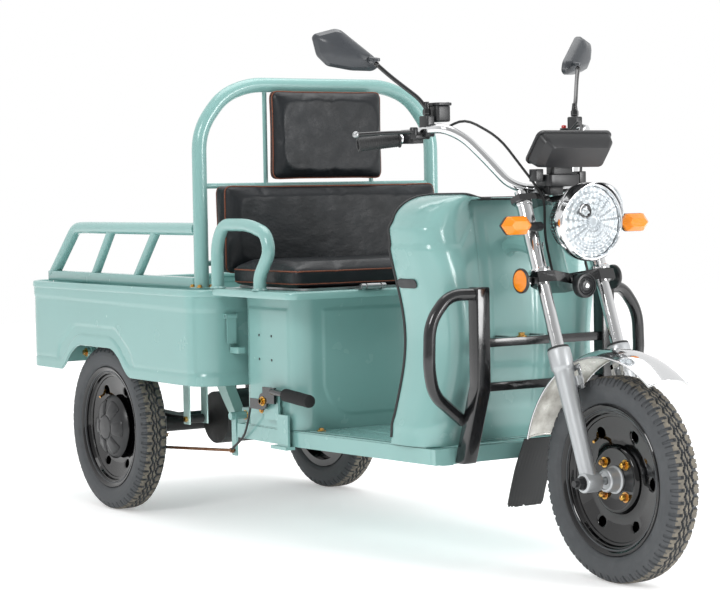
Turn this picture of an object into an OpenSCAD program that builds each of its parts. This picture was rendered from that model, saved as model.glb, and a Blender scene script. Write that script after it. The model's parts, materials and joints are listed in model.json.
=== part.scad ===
// Electric cargo tricycle: one steered front wheel, driver's bench, tipping cargo bed.
// +X forward, +Y to the vehicle's left, +Z up, origin on the ground under the middle.

/* [Wheels] */
// Outer diameter of all three tyres
tyre_d = 456; // [448:1:460]
// Width of a tyre
tyre_w = 80; // [74:1:84]
// Distance between the front and the rear axle
wheelbase = 1748; // [1730:1:1760]
// Distance between the two rear wheels
track = 690; // [684:1:694]

/* [Front end] */
// Lean of the fork from vertical
rake = 20.3; // [18:0.1:22]
// Half the distance between the fork tubes
fork_half = 85; // [83:1:88]
// Steering axis behind the fork tubes
fork_offset = 45; // [43:1:48]
// Radius of a polished fork tube
stanchion_r = 15; // [14:0.5:15.5]
// Radius of the handlebar tube
bar_r = 11; // [10:0.5:11.5]
// Radius of the headlight's glass
lens_r = 79; // [70:1:80]

/* [Cargo bed] */
// Rear end of the bed's wall, behind the origin
bed_rear = 1200; // [1195:1:1202]
// Front end of the bed's wall, behind the origin
bed_front = 176; // [174:1:180]
// Half width of the bed's wall
bed_half = 405; // [402:1:408]
// Height of the bed's lower edge
bed_low = 380; // [370:1:384]
// Height of the cargo floor
bed_floor = 500; // [498:1:510]
// Height of the bed's top edge
bed_top = 610; // [606:1:614]
// Radius of the bed's side rail tubes
rail_r = 16.5; // [14:0.5:17.5]
// Height of the top of the hoop
hoop_top = 1164; // [1150:1:1170]

/* [Seat and floor] */
// Height of the seat deck's top face
deck_top = 630; // [629:0.5:630.5]
// Half width of the seat cushion
cushion_half = 345; // [320:1:348]
// Height of the floor frame's top face
floor_top = 280; // [278:1:281]
// Height of the leg shield's top edge
shield_top = 858; // [840:1:862]

/* [Hidden] */
$fn = 48;
tube_sides = 12;
hull_fn = 32;
fit = 0.05;
gap = 0.4;
sheet = 3;
sides = [-1, 1];

wheel_r = tyre_d / 2;
front_x = 1216 - wheel_r;
rear_x = front_x - wheelbase;
rear_y = track / 2;
axle_r = 8;
hub_r = 30;
rim_r = 167;
rim_half = 33;
rail_y = 215;
rail_w = 30;
rail_h = 38;
frame_front = 638;
kick_x = -300;
rear_rail_z = 405;
cross_x = -216;
cross_z = 295;
cross_arm = 89;
rod_y = 290;
tip_x = -1150;
tip_z = 408;
hoop_x = -240;
hoop_r = 19;
rail_line_y = 360;
deck_rear = -160;
deck_front = 236;
deck_half = 385;
box_rear = -150;
box_front = 134;
box_half = 300;
hinge_z = deck_top + 8;
hinge_x = deck_front + 8;
lever_y = 326;
lever_x = 8;
lever_z = 352;
stem_low = 455;
stem_top = 650;
slider_top = 305;
grip_in = [505, 228, 987];
grip_out = [469, 332, 975];
spring_y = 240;
eye_x = -506;
eye_z = 262;

// --- helpers -------------------------------------------------------------------------

function unit(v) = v / norm(v);

// Rounds the corners of a path with short curves.
function soft(p, r, n = 4) = concat([p[0]],
  [for (i = [1 : 1 : len(p) - 2])
    let (to_a = p[i - 1] - p[i], to_b = p[i + 1] - p[i],
         d = min(r, 0.48 * norm(to_a), 0.48 * norm(to_b)),
         a = p[i] + unit(to_a) * d, b = p[i] + unit(to_b) * d)
    for (k = [0 : n]) let (t = k / n)
      a * (1 - t) * (1 - t) + 2 * p[i] * t * (1 - t) + b * t * t],
  [p[len(p) - 1]]);

function tangent(p, i) = let (n = len(p) - 1)
  unit(i == 0 ? p[1] - p[0] : i == n ? p[n] - p[n - 1]
    : unit(p[i + 1] - p[i]) + unit(p[i] - p[i - 1]));

// Carries one side direction along the path without twisting it.
function carried(p, i, side) = let (t = tangent(p, i), s = unit(side - (side * t) * t))
  i == len(p) - 1 ? [s] : concat([s], carried(p, i + 1, s));

// A round tube swept along a list of points.
module tube(path, r, sides_n = tube_sides) {
  start = abs(tangent(path, 0).z) > 0.9 ? [1, 0, 0] : [0, 0, 1];
  side = carried(path, 0, start);
  n = sides_n;
  last = len(path) - 1;
  points = [for (i = [0 : last]) let (t = tangent(path, i), u = side[i], v = cross(t, u))
    for (k = [0 : n - 1]) path[i] + r * (cos(360 * k / n) * u + sin(360 * k / n) * v)];
  faces = concat([[for (k = [0 : n - 1]) k]], [[for (k = [n - 1 : -1 : 0]) last * n + k]],
    [for (i = [0 : last - 1]) for (k = [0 : n - 1]) let (m = (k + 1) % n)
      each [[i * n + k, (i + 1) * n + k, (i + 1) * n + m], [i * n + k, (i + 1) * n + m, i * n + m]]]);
  polyhedron(points, faces, convexity = 6);
}

// A straight round bar from a to b.
module rod(a, b, r) {
  d = b - a;
  translate(a) rotate([0, acos(d.z / norm(d)), atan2(d.y, d.x)]) cylinder(h = norm(d), r = r);
}

// A hollow round bar from a to b.
module sleeve(a, b, r, bore) {
  d = b - a;
  translate(a) rotate([0, acos(d.z / norm(d)), atan2(d.y, d.x)]) difference() {
    cylinder(h = norm(d), r = r);
    translate([0, 0, -1]) cylinder(h = norm(d) + 2, r = bore);
  }
}

module block(low, high) translate(low) cube(high - low);

// A bar along Y, centred at x and z, from y = low to y = high.
module cross_bar(x, z, low, high, r) translate([x, low, z]) rotate([-90, 0, 0])
  cylinder(h = high - low, r = r);

module both() for (s = sides) scale_y(s) children();
module scale_y(s) mirror([0, s < 0 ? 1 : 0, 0]) children();

function at_side(p, s) = [for (q = p) [q.x, q.y * s, q.z]];

// A rectangle with true round corners.
module round_plate(low, high, r) {
  translate([low.x + r, low.y]) square([high.x - low.x - 2 * r, high.y - low.y]);
  translate([low.x, low.y + r]) square([high.x - low.x, high.y - low.y - 2 * r]);
  for (x = [low.x + r, high.x - r]) for (y = [low.y + r, high.y - r])
    translate([x, y]) circle(r);
}

module round_box(low, high, r) translate([0, 0, low.z])
  linear_extrude(high.z - low.z) round_plate(low, high, r);

// The fork's own frame: origin at the front axle, +Z up along the tubes.
module fork_space() translate([front_x, 0, wheel_r]) rotate([0, -rake, 0]) children();
function fork_point(x, y, z) = [front_x + x * cos(rake) - z * sin(rake), y,
  wheel_r + x * sin(rake) + z * cos(rake)];

// Turns a profile of [radius, place along the axle] round the wheel's axle.
module around_axle(x, y) translate([x, y, wheel_r]) rotate([90, 0, 0])
  rotate_extrude($fn = 72) children();

// --- chassis -------------------------------------------------------------------------

module floor_rail()
  block([kick_x, rail_y - rail_w / 2, floor_top - rail_h], [frame_front, rail_y + rail_w / 2, floor_top]);

// The rail that climbs behind the seat box and runs under the bed.
module rear_rail() {
  translate([kick_x, rail_y - rail_w / 2, 0]) rotate([90, 0, 0]) mirror([0, 0, 1])
    linear_extrude(rail_w) polygon([[0, floor_top - rail_h], [0, floor_top], [-110, rear_rail_z + 19],
      [-130, rear_rail_z - 22]]);
  block([tip_x - 14, rail_y - rail_w / 2, rear_rail_z - 22], [kick_x - 105, rail_y + rail_w / 2, rear_rail_z + 19]);
}

module spring_hanger() {
  for (y = [spring_y - 29, spring_y + 25]) {
    block([eye_x - 16, y, eye_z - 14], [eye_x + 16, y + 4, rear_rail_z - 20]);
    block([-1112, y, 330], [-1084, y + 4, rear_rail_z - 20]);
  }
  block([eye_x - 16, spring_y - 29, rear_rail_z - 24], [eye_x + 16, spring_y + 29, rear_rail_z - 19]);
  block([-1112, spring_y - 29, rear_rail_z - 24], [-1084, spring_y + 29, rear_rail_z - 19]);
}

module frame_rails() color("mediumaquamarine") {
  both() {
    floor_rail();
    foot_board_rail();
    difference() {
      block([cross_x - 18, 232, floor_top - 30], [cross_x + 18, 252, cross_z + 18]);
      cross_bar(cross_x, cross_z, 230, 254, 10 + fit);
    }
  }
  for (x = [-180, 120, 380]) block([x, -rail_y, floor_top - 34], [x + 30, rail_y, floor_top - 4]);
  block([frame_front - 30, -250, floor_top - 36], [frame_front, 250, floor_top]);
  block([30, -324, 236], [104, -298, 244]);
  block([54, -318, 240], [104, -312, 322]);
  block([-8, -318, 306], [60, -312, 372]);
  cross_bar(lever_x, lever_z, -340, -316, 6);
}

module rear_frame() color("mediumaquamarine") {
  both() {
    rear_rail();
    spring_hanger();
    cross_bar(tip_x, tip_z, rail_y + 14, rail_y + 36, 10);
  }
  for (x = [-1140, -560, -410]) block([x, -rail_y, rear_rail_z - 18], [x + 36, rail_y, rear_rail_z + 16]);
}

// The tapering outer tube of the foot boards, with its short outriggers.
module foot_board_rail() {
  translate([0, 0, floor_top - 36]) linear_extrude(36)
    polygon([[-176, 272], [-176, 300], [120, 300], [620, 252], [frame_front, 240], [frame_front, 214],
      [606, 226], [118, 272]]);
  block([-176, rail_y, floor_top - 34], [-146, 290, floor_top - 4]);
  block([118, rail_y, floor_top - 34], [148, 290, floor_top - 4]);
  block([380, rail_y, floor_top - 34], [410, 270, floor_top - 4]);
}

module head_tube() color("dimgray") {
  fork_space() translate([-fork_offset, 0, 0]) difference() {
    translate([0, 0, 480 + gap]) cylinder(h = stem_top - 480 - 2 * gap, r = 25);
    translate([0, 0, 470]) cylinder(h = 190, r = 14 + fit);
  }
  neck = fork_point(-fork_offset - 32, 0, 560);
  tube(soft([neck, [648, 0, 742], [592, 0, 742], [560, 0, 690], [545, 0, 330], [545, 0, floor_top + 3.7]], 60), 20);
}

module floor_plate() color("silver") translate([0, 0, floor_top + 0.2]) linear_extrude(3)
  polygon([[-140, -298], [120, -298], [600, -250], [600, 250], [120, 298], [-140, 298]]);

// Half width of the shield's rear edge at height z: waisted below, round at the top.
function shield_half(z) = let (t = (z - floor_top) / (shield_top - floor_top))
  z > 790 ? 262 - 150 * (1 - sqrt(max(0, 1 - pow((z - 790) / (shield_top - 790), 2)))) * 0.75
  : 250 - 24 * sin(360 * (t - 0.18) / 0.98) ;
function shield_nose(z) = let (t = (z - floor_top) / (shield_top - floor_top)) 619 + 36 * sin(180 * min(1, t));
// One level of the shield, from the right rear edge round the front to the left one.
function shield_row(z) = let (w = shield_half(z), nose = shield_nose(z))
  let (half = [[490, w], [530, w + 3], [nose - 50, w - 2], [nose - 14, w - 22], [nose, w - 52],
    [nose - 3, w - 90], [nose - 30, 108], [nose - 44, 94], [nose - 45.5, 27]])
  concat([for (q = half) [q.x, -q.y, z]], [for (i = [8 : -1 : 0]) [half[i].x, half[i].y, z]]);

function quad(a, b, c, d) = [[a, b, c], [a, c, d]];
shield_levels = [284, 330, 392, 462, 524, 580, 630, 706, 757, 800, 825, 845, shield_top];
module leg_shield() color("mediumaquamarine") {
  shield_part(0, 8, shield_levels);
  shield_part(9, 17, shield_levels);
  shield_part(8, 9, [for (i = [0 : 7]) shield_levels[i]]);
}

// The columns first to last of the shield, up to the last of the levels, as one bent sheet.
module shield_part(first, last, zs) {
  outer = [for (z = zs) let (row = shield_row(z)) [for (i = [first : last]) row[i]]];
  inner = [for (row = outer) [for (q = row) let (d = unit([-1, -q.y / 200, 0])) q + d * 4]];
  n = len(outer[0]);
  m = len(zs);
  points = concat([for (row = outer) each row], [for (row = inner) each row]);
  k = n * m;
  faces = concat(
    [for (j = [0 : m - 2]) for (i = [0 : n - 2]) each
      quad(j * n + i, (j + 1) * n + i, (j + 1) * n + i + 1, j * n + i + 1)],
    [for (j = [0 : m - 2]) for (i = [0 : n - 2]) each
      quad(k + j * n + i, k + j * n + i + 1, k + (j + 1) * n + i + 1, k + (j + 1) * n + i)],
    [for (i = [0 : n - 2]) each quad(i, i + 1, k + i + 1, k + i)],
    [for (i = [0 : n - 2]) each let (a = (m - 1) * n + i) quad(a, k + a, k + a + 1, a + 1)],
    [for (j = [0 : m - 2]) each let (a = j * n) quad(a, k + a, k + a + n, a + n)],
    [for (j = [0 : m - 2]) each let (a = j * n + n - 1) quad(a, a + n, k + a + n, k + a)]);
  polyhedron(points, faces, convexity = 8);
}

module shield_trim() color("black") both() {
  path = [for (z = [286, 340, 392, 462, 524, 580, 630, 706, 757, 800, 825, 845])
    [481.6, shield_half(z), z]];
  tube(path, 4, 8);
  block([500, 254, 648], [570, 258, 668]);
}

module crash_guard() color("black") {
  both() {
    translate([0, 162, 0]) rotate([90, 0, 0]) mirror([0, 0, 1]) linear_extrude(36)
      polygon([[700, 650], [736, 650], [736, 420], [676, 246], [640 + gap, 246], [640 + gap, 252], [700, 430]]);
    tube(soft([[718, 196, 634], [700, 250, 634], [696, 300, 575], [696, 304, 470], [686, 285, 410],
      [660, 196, 340]], 55, 5), 14);
  }
  block([706, -163, 513], [726, 163, 533]);
  block([706, -163, 413], [726, 163, 433]);
  for (y = [-60, 40]) block([shield_nose(530) - 43.4, y, 516], [708, y + 20, 530]);
}

module seat_box() color("mediumaquamarine") {
  seat_box_shell();
  block([box_rear - 18, -324, 462], [box_rear + 24, -299, 478]);
}

module seat_box_shell() difference() {
  round_box([box_rear, -box_half, floor_top + 4], [box_front, box_half, deck_top - 18.5], 50);
  round_box([box_rear + sheet, -box_half + sheet, floor_top + 4 + sheet],
    [box_front - sheet, box_half - sheet, deck_top], 47);
  for (x = [-80, -50]) for (z = [520, 545]) cross_bar(x, z, -box_half - 1, -box_half + 10, 4);
}

module seat_deck() color("mediumaquamarine") difference() {
  round_box([deck_rear, -deck_half, deck_top - 18], [deck_front, deck_half, deck_top], 24);
  round_box([deck_rear + 3, -deck_half + 3, deck_top - 19], [deck_front - 3, deck_half - 3, deck_top - 3], 21);
  round_box([box_rear + 30, -box_half + 40, deck_top - 20], [box_front - 30, box_half - 40, deck_top + 1], 20);
}

module armrests() color("mediumaquamarine") both() {
  tube(soft([[-142, 368, deck_top + gap], [-142, 368, 740], [-108, 368, 790], [20, 368, 790],
    [100, 368, 770], [118, 368, 725], [68, 368, deck_top + 34],
    [68, 368, deck_top + gap]], 62, 6), 16);
}

module seat_hinge() color("silver") both() {
  cross_bar(hinge_x, hinge_z, 116, 190, 4);
  for (y = [118, 176]) {
    cross_bar(hinge_x, hinge_z, y, y + 12, 7);
    block([deck_front - 24, y, deck_top + gap], [hinge_x, y + 12, deck_top + 3]);
  }
}

module seat_board() color("dimgray") {
  round_box([-124, -322, deck_top + 1], [200, 322, deck_top + 6], 16);
  both() {
    difference() {
      block([196, 134, deck_top + 1 + 3], [hinge_x, 172, deck_top + 7]);
      cross_bar(hinge_x, hinge_z, 130, 176, 6.9);
    }
    sleeve([hinge_x, 134, hinge_z], [hinge_x, 172, hinge_z], 7, 4 + fit);
  }
}

module seat_cushion() color("black")
  round_box([-127, -cushion_half, deck_top + 6.5], [195, cushion_half, deck_top + 64], 20);

module battery_pack() color("black") for (x = [-118, -12]) for (y = [-230, -70, 90])
  block([x, y, floor_top + 8], [x + 100, y + 140, floor_top + 178]);

module motor_controller() color("silver") block([-118, -150, floor_top + 200], [60, -30, floor_top + 250]);

module handbrake_cable() color("black") {
  tube(soft([[-59, -328, 332], [-80, -322, 300], [-130, -306, 250], [-196, -306, 212]], 30, 3), 3, 8);
}

module brake_cross_shaft() color("silver") {
  cross_bar(cross_x, cross_z, -298, 298, 10);
  both() difference() {
    block([cross_x - 11, 282, cross_z - cross_arm - 14], [cross_x + 11, 288, cross_z + 6]);
    cross_bar(cross_x, cross_z - cross_arm, 280, 290, 7);
  }
}

module brake_rods() color("goldenrod") both() {
  cross_bar(cross_x, cross_z - cross_arm, 278, 300, 4);
  block([cross_x - 6, 292, cross_z - cross_arm - 6], [cross_x + 6, 298, cross_z - cross_arm + 6]);
  rod([cross_x - 4, 295, cross_z - cross_arm], [-698, 279, 172], 4);
}

module handbrake_lever() color("dimgray") {
  difference() {
    union() {
      translate([lever_x, -325, lever_z]) rotate([90, 0, 0]) cylinder(h = 7, r = 20);
      block([lever_x - 62, -332, lever_z - 22], [lever_x, -325, lever_z + 4]);
      block([lever_x, -332, lever_z - 4], [lever_x + 56, -325, lever_z + 36]);
    }
    cross_bar(lever_x, lever_z, -334, -322, 6 + fit);
  }
  rod(pull_rear, pull_front, 8);
}

pull_rear = [lever_x + 40, -328.5, lever_z + 27];
pull_front = [226, -328.5, 366];
pull_dir = unit(pull_front - pull_rear);
module handbrake_grip() color("black")
  sleeve(pull_front - 114 * pull_dir, pull_front + 2 * pull_dir, 16, 8 + fit);

// --- steering ------------------------------------------------------------------------

module clamp_plate(z, h) translate([0, 0, z]) linear_extrude(h) difference() {
  polygon([[-fork_offset - 26, -30], [-fork_offset - 26, 30], [-14, fork_half + 24], [20, fork_half + 24],
    [24, fork_half - 22], [-4, 0], [24, -fork_half + 22], [20, -fork_half - 24], [-14, -fork_half - 24]]);
  for (s = sides) translate([0, s * fork_half]) circle(stanchion_r + fit);
}

module steering_stem() color("dimgray") fork_space() {
  clamp_plate(stem_low, 25);
  clamp_plate(stem_top, 14);
  translate([-fork_offset, 0, stem_low]) cylinder(h = 232, r = 14);
}

module fork_stanchions() color("gainsboro") fork_space() both() translate([0, fork_half, 0]) {
  translate([0, 0, 196]) cylinder(h = 480, r = stanchion_r);
  translate([0, 0, stem_low + 25 + gap]) cylinder(h = stem_top - stem_low - 25 - 2 * gap, r = 18);
}

lamp_z = 793;
module along_x(x, z) translate([x, 0, z]) rotate([0, 90, 0]) rotate_extrude($fn = 64) children();

module headlight_shell() color("gainsboro") {
  along_x(0, lamp_z) polygon([[0, 800], [44, 800], [52, 812], [70, 850], [lens_r + 7, 880],
    [lens_r + 7, 904], [lens_r + 0.4, 904],
    [lens_r + 0.4, 889.6], [lens_r - 4, 880], [62, 856], [46, 818], [0, 812]]);
  block([786, -22, lamp_z - 20], [801, 22, lamp_z + 20]);
}

module headlight_lens() color("white") along_x(0, lamp_z)
  polygon([[0, 905], [40, 903], [lens_r, 894], [lens_r, 890], [40, 898], [0, 900]]);

module amber_lamps() color("orange") {
  both() block([820, 130.5, lamp_z - 26], [862, 215, lamp_z + 16]);
  both() cross_bar(812, 664, 128, 137, 27);
}

module lamp_brackets() color("dimgray") both() {
  cross_bar(836, lamp_z - 5, 96, 130, 8);
  block([800, 66, lamp_z - 12], [838, 70, lamp_z + 6]);
  block([800, 66, lamp_z - 5], [808, 100, lamp_z + 1]);
  block([828, 70, lamp_z - 12], [844, 98, lamp_z + 2]);
  block([806, 109.4, 656], [830, 127.8, 672]);
}

module horn() color("black") {
  translate([846, 10, 650]) rotate([0, 90, 0]) cylinder(h = 26, r = 28);
  block([831.5, 4, 658], [847, 16, 676]);
}

// Slab tilted towards the driver, placed by its rear lower edge.
module instrument_case() color("black") {
  translate([790, 0, 928]) rotate([0, -51.8, 0]) round_box([0, -105, -44], [89, 105, 0], 14);
  round_box([750, -46, 872], [806, 46, 900], 10);
  block([752, -20, 854], [775, 20, 873]);
  block([773, -30, 898], [800, 30, 925]);
}

bar_line = [[735, 0, 868], [735, 60, 868], [716, 92, 882], [684, 124, 932], [655, 168, 986],
  [630, 206, 1008], [590, 217, 1008], [540, 222, 999], grip_in];
module handlebar() color("gainsboro") {
  both() {
    tube(soft(bar_line, 30, 4), bar_r);
    rod(grip_in, grip_out, bar_r);
  }
  for (s = sides) block([724, s * 34 - 9, 847], [746, s * 34 + 9, 866]);
}

grip_dir = unit(grip_out - grip_in);
module grip_left() color("black") sleeve(grip_in + 14 * grip_dir, grip_out + 3 * grip_dir, 16, bar_r + fit);

module throttle_grip() color("black") scale_y(-1)
  sleeve(grip_in + 14 * grip_dir, grip_out + 3 * grip_dir, 16, bar_r + fit);

lever_pivot = [566, 246, 1002];
horn_spot = [532, 215, 1011.4];
module control_housings() color("black") difference() {
  union() {
    both() {
      translate([0, 0, 974]) linear_extrude(38) polygon([[498, 208], [498, 236], [546, 242], [550, 208]]);
      block([546, 206, 986], [576, 250, 995]);
      translate([lever_pivot.x, lever_pivot.y, 986]) cylinder(h = 26, r = 4);
      block([556, 202, 990], [592, 228, 1038]);
    }
    round_box([542, -200, 1024], [594, -160, 1068], 6);
  }
  both() {
    rod(grip_in - 80 * grip_dir, grip_in + 80 * grip_dir, bar_r + fit);
    rod([540, 222, 999], [592, 216.8, 1008.4], bar_r + 0.8);
    rod([586, 217.6, 1007.8], [606, 212.6, 1008], bar_r + 0.8);
    rod([grip_in.x - 8, 229, 985.7], [546, 221.4, 1000], bar_r + 0.6);
  }
  translate(horn_spot + [0, 0, -4]) cylinder(h = 20, r = 6.2);
}

module brake_lever(s) color("gainsboro") scale_y(s) {
  difference() {
    union() {
      translate([lever_pivot.x, lever_pivot.y, 996]) cylinder(h = 10, r = 9);
      tube(soft([[563, 252, 1001], [546, 290, 1000], [508, 366, 997]], 20), 5);
      translate([508, 366, 997]) sphere(8, $fn = 12);
    }
    translate([lever_pivot.x, lever_pivot.y, 980]) cylinder(h = 60, r = 4 + fit);
  }
}

mirror_ball = [490, 294, 1158];
mirror_sweep = 28;
module mirror_stems() color("black") both() {
  tube(soft([[574, 215, 1038 + gap], [574, 215, 1054], [562, 228, 1078],
    [512, 272, 1130], mirror_ball], 24, 4), 5);
  translate(mirror_ball) sphere(6);
}

module mirror_head(s) color("black") scale_y(s)
  translate(mirror_ball) rotate([0, 0, mirror_sweep]) {
    translate([-43, 0, 2]) rotate([90, 0, 90]) linear_extrude(34)
      polygon([[-8, -6], [6, -15], [56, -13], [112, -2], [136, 22], [146, 64], [140, 72], [92, 84], [78, 80], [0, 16]]);
    translate([0, 0, 7]) cylinder(h = 8, r = 8);
    block([-10, -5, 7], [0, 5, 15]);
  }

module key_switch() color("silver") translate([762, 0, 900 + gap]) cylinder(h = 12, r = 9);

module horn_button() color("red") translate(horn_spot) cylinder(h = 8, r = 6);

module control_cables() color("black") {
  for (s = sides) tube(soft([[596, s * 186, 1006], [655, s * 167, 1030], [721, s * 120, 985], [778, s * 66, 880],
    [794, s * 50, 845], [794, s * 50, 760], fork_point(0, s * 50, 506), fork_point(0, s * 50, 481)],
    36, 4), 3, 8);
}

// --- front suspension and wheel ------------------------------------------------------

module fork_sliders() color("silver") fork_space() both() translate([0, fork_half, 0]) difference() {
  union() {
    translate([0, 0, 20]) cylinder(h = 242, r1 = 18, r2 = 22);
    translate([0, 0, 262]) cylinder(h = slider_top - 262, r = 26);
    rotate([90, 0, 0]) translate([0, 0, -20]) cylinder(h = 40, r = 22);
  }
  translate([0, 0, 150]) cylinder(h = 200, r = stanchion_r + fit);
  rotate([90, 0, 0]) translate([0, 0, -40]) cylinder(h = 80, r = axle_r + fit);
}

module front_axle() color("gray") {
  cross_bar(front_x, wheel_r, -130, 130, axle_r);
  both() cross_bar(front_x, wheel_r, 105 + gap, 120, 14);
  both() sleeve([front_x, 48, wheel_r], [front_x, 65 - gap, wheel_r], 14, axle_r - 1);
}

function guard_r(y) = 288 - 16 * pow(y / 55, 2);
module front_mudguard() color("gainsboro") {
  translate([front_x, 0, wheel_r]) rotate([90, 0, 0]) rotate([0, 0, 52.6])
    rotate_extrude(angle = 112.4, $fn = 96) polygon(concat(
      [for (y = [-55 : 11 : 55]) [guard_r(y), y]], [for (y = [55 : -11 : -55]) [guard_r(y) - 2.5, y]]));
  fork_space() both() block([-14, 52, 206], [30, 62.2, 260]);
}

module mud_flap() color("black") rotate([90, 0, 0]) translate([0, 0, -52]) linear_extrude(104)
  polygon([[711, 296], [705, 297], [668, 225], [634, 128], [639, 127], [673, 223]]);

module tyre_profile() polygon([[151.6, -28], [167.6, -28], [171, -33], [194, -tyre_w / 2], [214, -36],
  [wheel_r - 3, -28], [wheel_r, -14], [wheel_r, 14], [wheel_r - 3, 28], [214, 36], [194, tyre_w / 2],
  [171, 33], [167.6, 28], [151.6, 28]]);
module wheel_tyre(x, y) color("dimgray") around_axle(x, y) tyre_profile();

// Pressed rim: flanged barrel, dished disc and hub with a true bore.
module wheel_rim(x, y, out, bore) color("black") difference() {
  around_axle(x, y) {
    polygon([[147, -rim_half], [rim_r, -rim_half], [rim_r, -28.4], [151, -28.4], [151, 28.4],
      [rim_r, 28.4], [rim_r, rim_half], [147, rim_half]]);
    polygon([[bore, out * 14], [60, out * 14], [90, out * 4], [148, out * 8], [148, out * 3], [88, out * -1],
      [60, out * 8], [bore, out * 8]]);
    translate([bore, -46]) square([hub_r - bore, 92]);
  }
  for (a = [0 : 30 : 330]) translate([x, y, wheel_r]) rotate([0, a, 0]) translate([118, 0, 0])
    rotate([90, 0, 0]) translate([0, 0, -30]) cylinder(h = 60, r = 9);
}

module front_tyre() wheel_tyre(front_x, 0);
module front_rim() wheel_rim(front_x, 0, 1, axle_r + fit);

// --- rear axle -----------------------------------------------------------------------

module rear_axle() color("dimgray") {
  cross_bar(rear_x, wheel_r, -288, 288, 26);
  translate([rear_x, 20, wheel_r]) sphere(66);
  both() {
    cross_bar(rear_x, wheel_r, 284, 292, 88);
    cross_bar(rear_x, wheel_r, 290, rear_y + 30, 12);
    block([rear_x - 30, spring_y - 22, wheel_r + 10], [rear_x + 30, spring_y + 22, wheel_r + 30]);
    block([rear_x + 40, 276, 168], [rear_x + 56, 284, 232]);
  }
}

module drive_motor() color("black") difference() {
  union() {
    cross_bar(rear_x + 128, wheel_r + 18, -110, 66, 72);
    block([rear_x + 40, -40, wheel_r - 30], [rear_x + 90, 60, wheel_r + 40]);
  }
  translate([rear_x, 20, wheel_r]) sphere(66.4, $fn = 96);
}

function leaf_arc(x0, x1, z0, z1, n) = [for (i = [0 : n]) let (t = i / n)
  [x0 + (x1 - x0) * t, z0 + (z1 - z0) * sin(180 * t)]];
module leaf(x0, x1, z0, z1, h) rotate([90, 0, 0]) translate([0, 0, -spring_y - 20]) linear_extrude(40)
  polygon(concat(leaf_arc(x0, x1, z0, z1, 10), [for (i = [10 : -1 : 0])
    leaf_arc(x0, x1, z0, z1, 10)[i] + [0, h]]));
module leaf_springs() color("black") both() {
  difference() {
    leaf(eye_x, -1098, eye_z, eye_z - 4, 6);
    cross_bar(eye_x, eye_z, 200, 280, 11);
    cross_bar(-1098, eye_z, 200, 280, 11);
  }
  leaf(-560, -1000, eye_z - 3.2, eye_z + 2.4, 5.5);
  for (x = [eye_x, -1098]) sleeve([x, spring_y - 20, eye_z], [x, spring_y + 20, eye_z], 12, 6);
  cross_bar(eye_x, eye_z, spring_y - 24, spring_y + 24, 5.9);
  cross_bar(-1098, eye_z, spring_y - 24, spring_y + 24, 5.9);
  for (y = [spring_y - 24.6, spring_y + 20.6]) block([-1107, y, eye_z - 9], [-1089, y + 4, 342]);
}

module rear_wheel_rim(s) color("black") {
  wheel_rim(rear_x, s * rear_y, -s, 12 + fit);
  cross_bar(rear_x, wheel_r, s > 0 ? rear_y + 30 + gap : -rear_y - 46, s > 0 ? rear_y + 46 : -rear_y - 30 - gap, 40);
}

// --- cargo bed -----------------------------------------------------------------------

module wheel_arch() rotate([90, 0, 0]) translate([0, 0, -600]) linear_extrude(1200)
  polygon([[-962, bed_low - 1], [-948, 412], [-880, 453], [-662, 453], [-600, 412], [-582, bed_low - 1]]);

module bed_tub() color("mediumaquamarine") {
  difference() {
    round_box([-bed_rear, -bed_half, bed_low], [-bed_front, bed_half, bed_top], 66);
    round_box([-bed_rear + sheet, -bed_half + sheet, bed_floor + sheet], [-bed_front - sheet, bed_half - sheet, 700], 63);
    round_box([-bed_rear + sheet, -bed_half + sheet, 0], [-bed_front - sheet, bed_half - sheet, bed_floor], 63);
    wheel_arch();
    block([-bed_rear - 1, -330, bed_floor + 4], [-bed_rear + 90, 330, 700]);
  }
  difference() {
    round_box([-bed_rear - 6, -bed_half - 8, bed_top - 6], [-bed_front + 8, bed_half + 8, bed_top + 15], 74);
    round_box([-bed_rear + sheet, -bed_half + sheet, 0], [-bed_front - sheet, bed_half - sheet, 700], 63);
    block([-bed_rear - 10, -330, bed_floor + 4], [-bed_rear + 90, 330, 700]);
  }
  cross_bar(latch_x, latch_z, -336, -300, 3);
  for (y = [-336, -304]) block([-bed_front - 1, y, latch_z - 6], [latch_x + 4, y + 4, latch_z + 6]);
  for (y = [-240, 0, 240]) {
    cross_bar(gate_hinge.x, gate_hinge.z, y - 36, y + 36, 0.95);
    for (e = [y - 36, y + 30.5]) block([gate_x - 6.4, e, bed_floor], [gate_x + 0.1, e + 5.5, bed_floor + 7]);
  }
}

// Beams under the cargo floor, with the eyes that the bed tips on.
module bed_beams() color("mediumaquamarine") {
  both() {
    block([-1190, 180, 440], [-190, 220, bed_floor]);
    difference() {
      union() {
        block([tip_x - 20, 232, tip_z], [tip_x + 20, 242, bed_floor]);
        cross_bar(tip_x, tip_z, 232, 242, 20);
      }
      cross_bar(tip_x, tip_z, 226, 260, 10 + fit);
    }
  }
  for (x = [-1150, -480, -230]) block([x, -280, 460], [x + 40, 280, bed_floor]);
}

module side_rails() color("mediumaquamarine") both() {
  rim_z = bed_top + 15;
  block([-1134, rail_line_y - 15, rim_z + 0.3], [hoop_x - hoop_r - gap, rail_line_y + 15, rim_z + 28.3]);
  tube(soft([[-1120, rail_line_y, rim_z + 20], [-971, rail_line_y, 776], [-920, rail_line_y, 778],
    [hoop_x - hoop_r - gap, rail_line_y, 778]], 40), rail_r);
  tube([[-855, rail_line_y, rim_z + 20], [-742, rail_line_y, 776]], rail_r - 4);
  tube([[-600, rail_line_y, rim_z + 20], [-478, rail_line_y, 776]], rail_r - 4);
}

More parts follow.
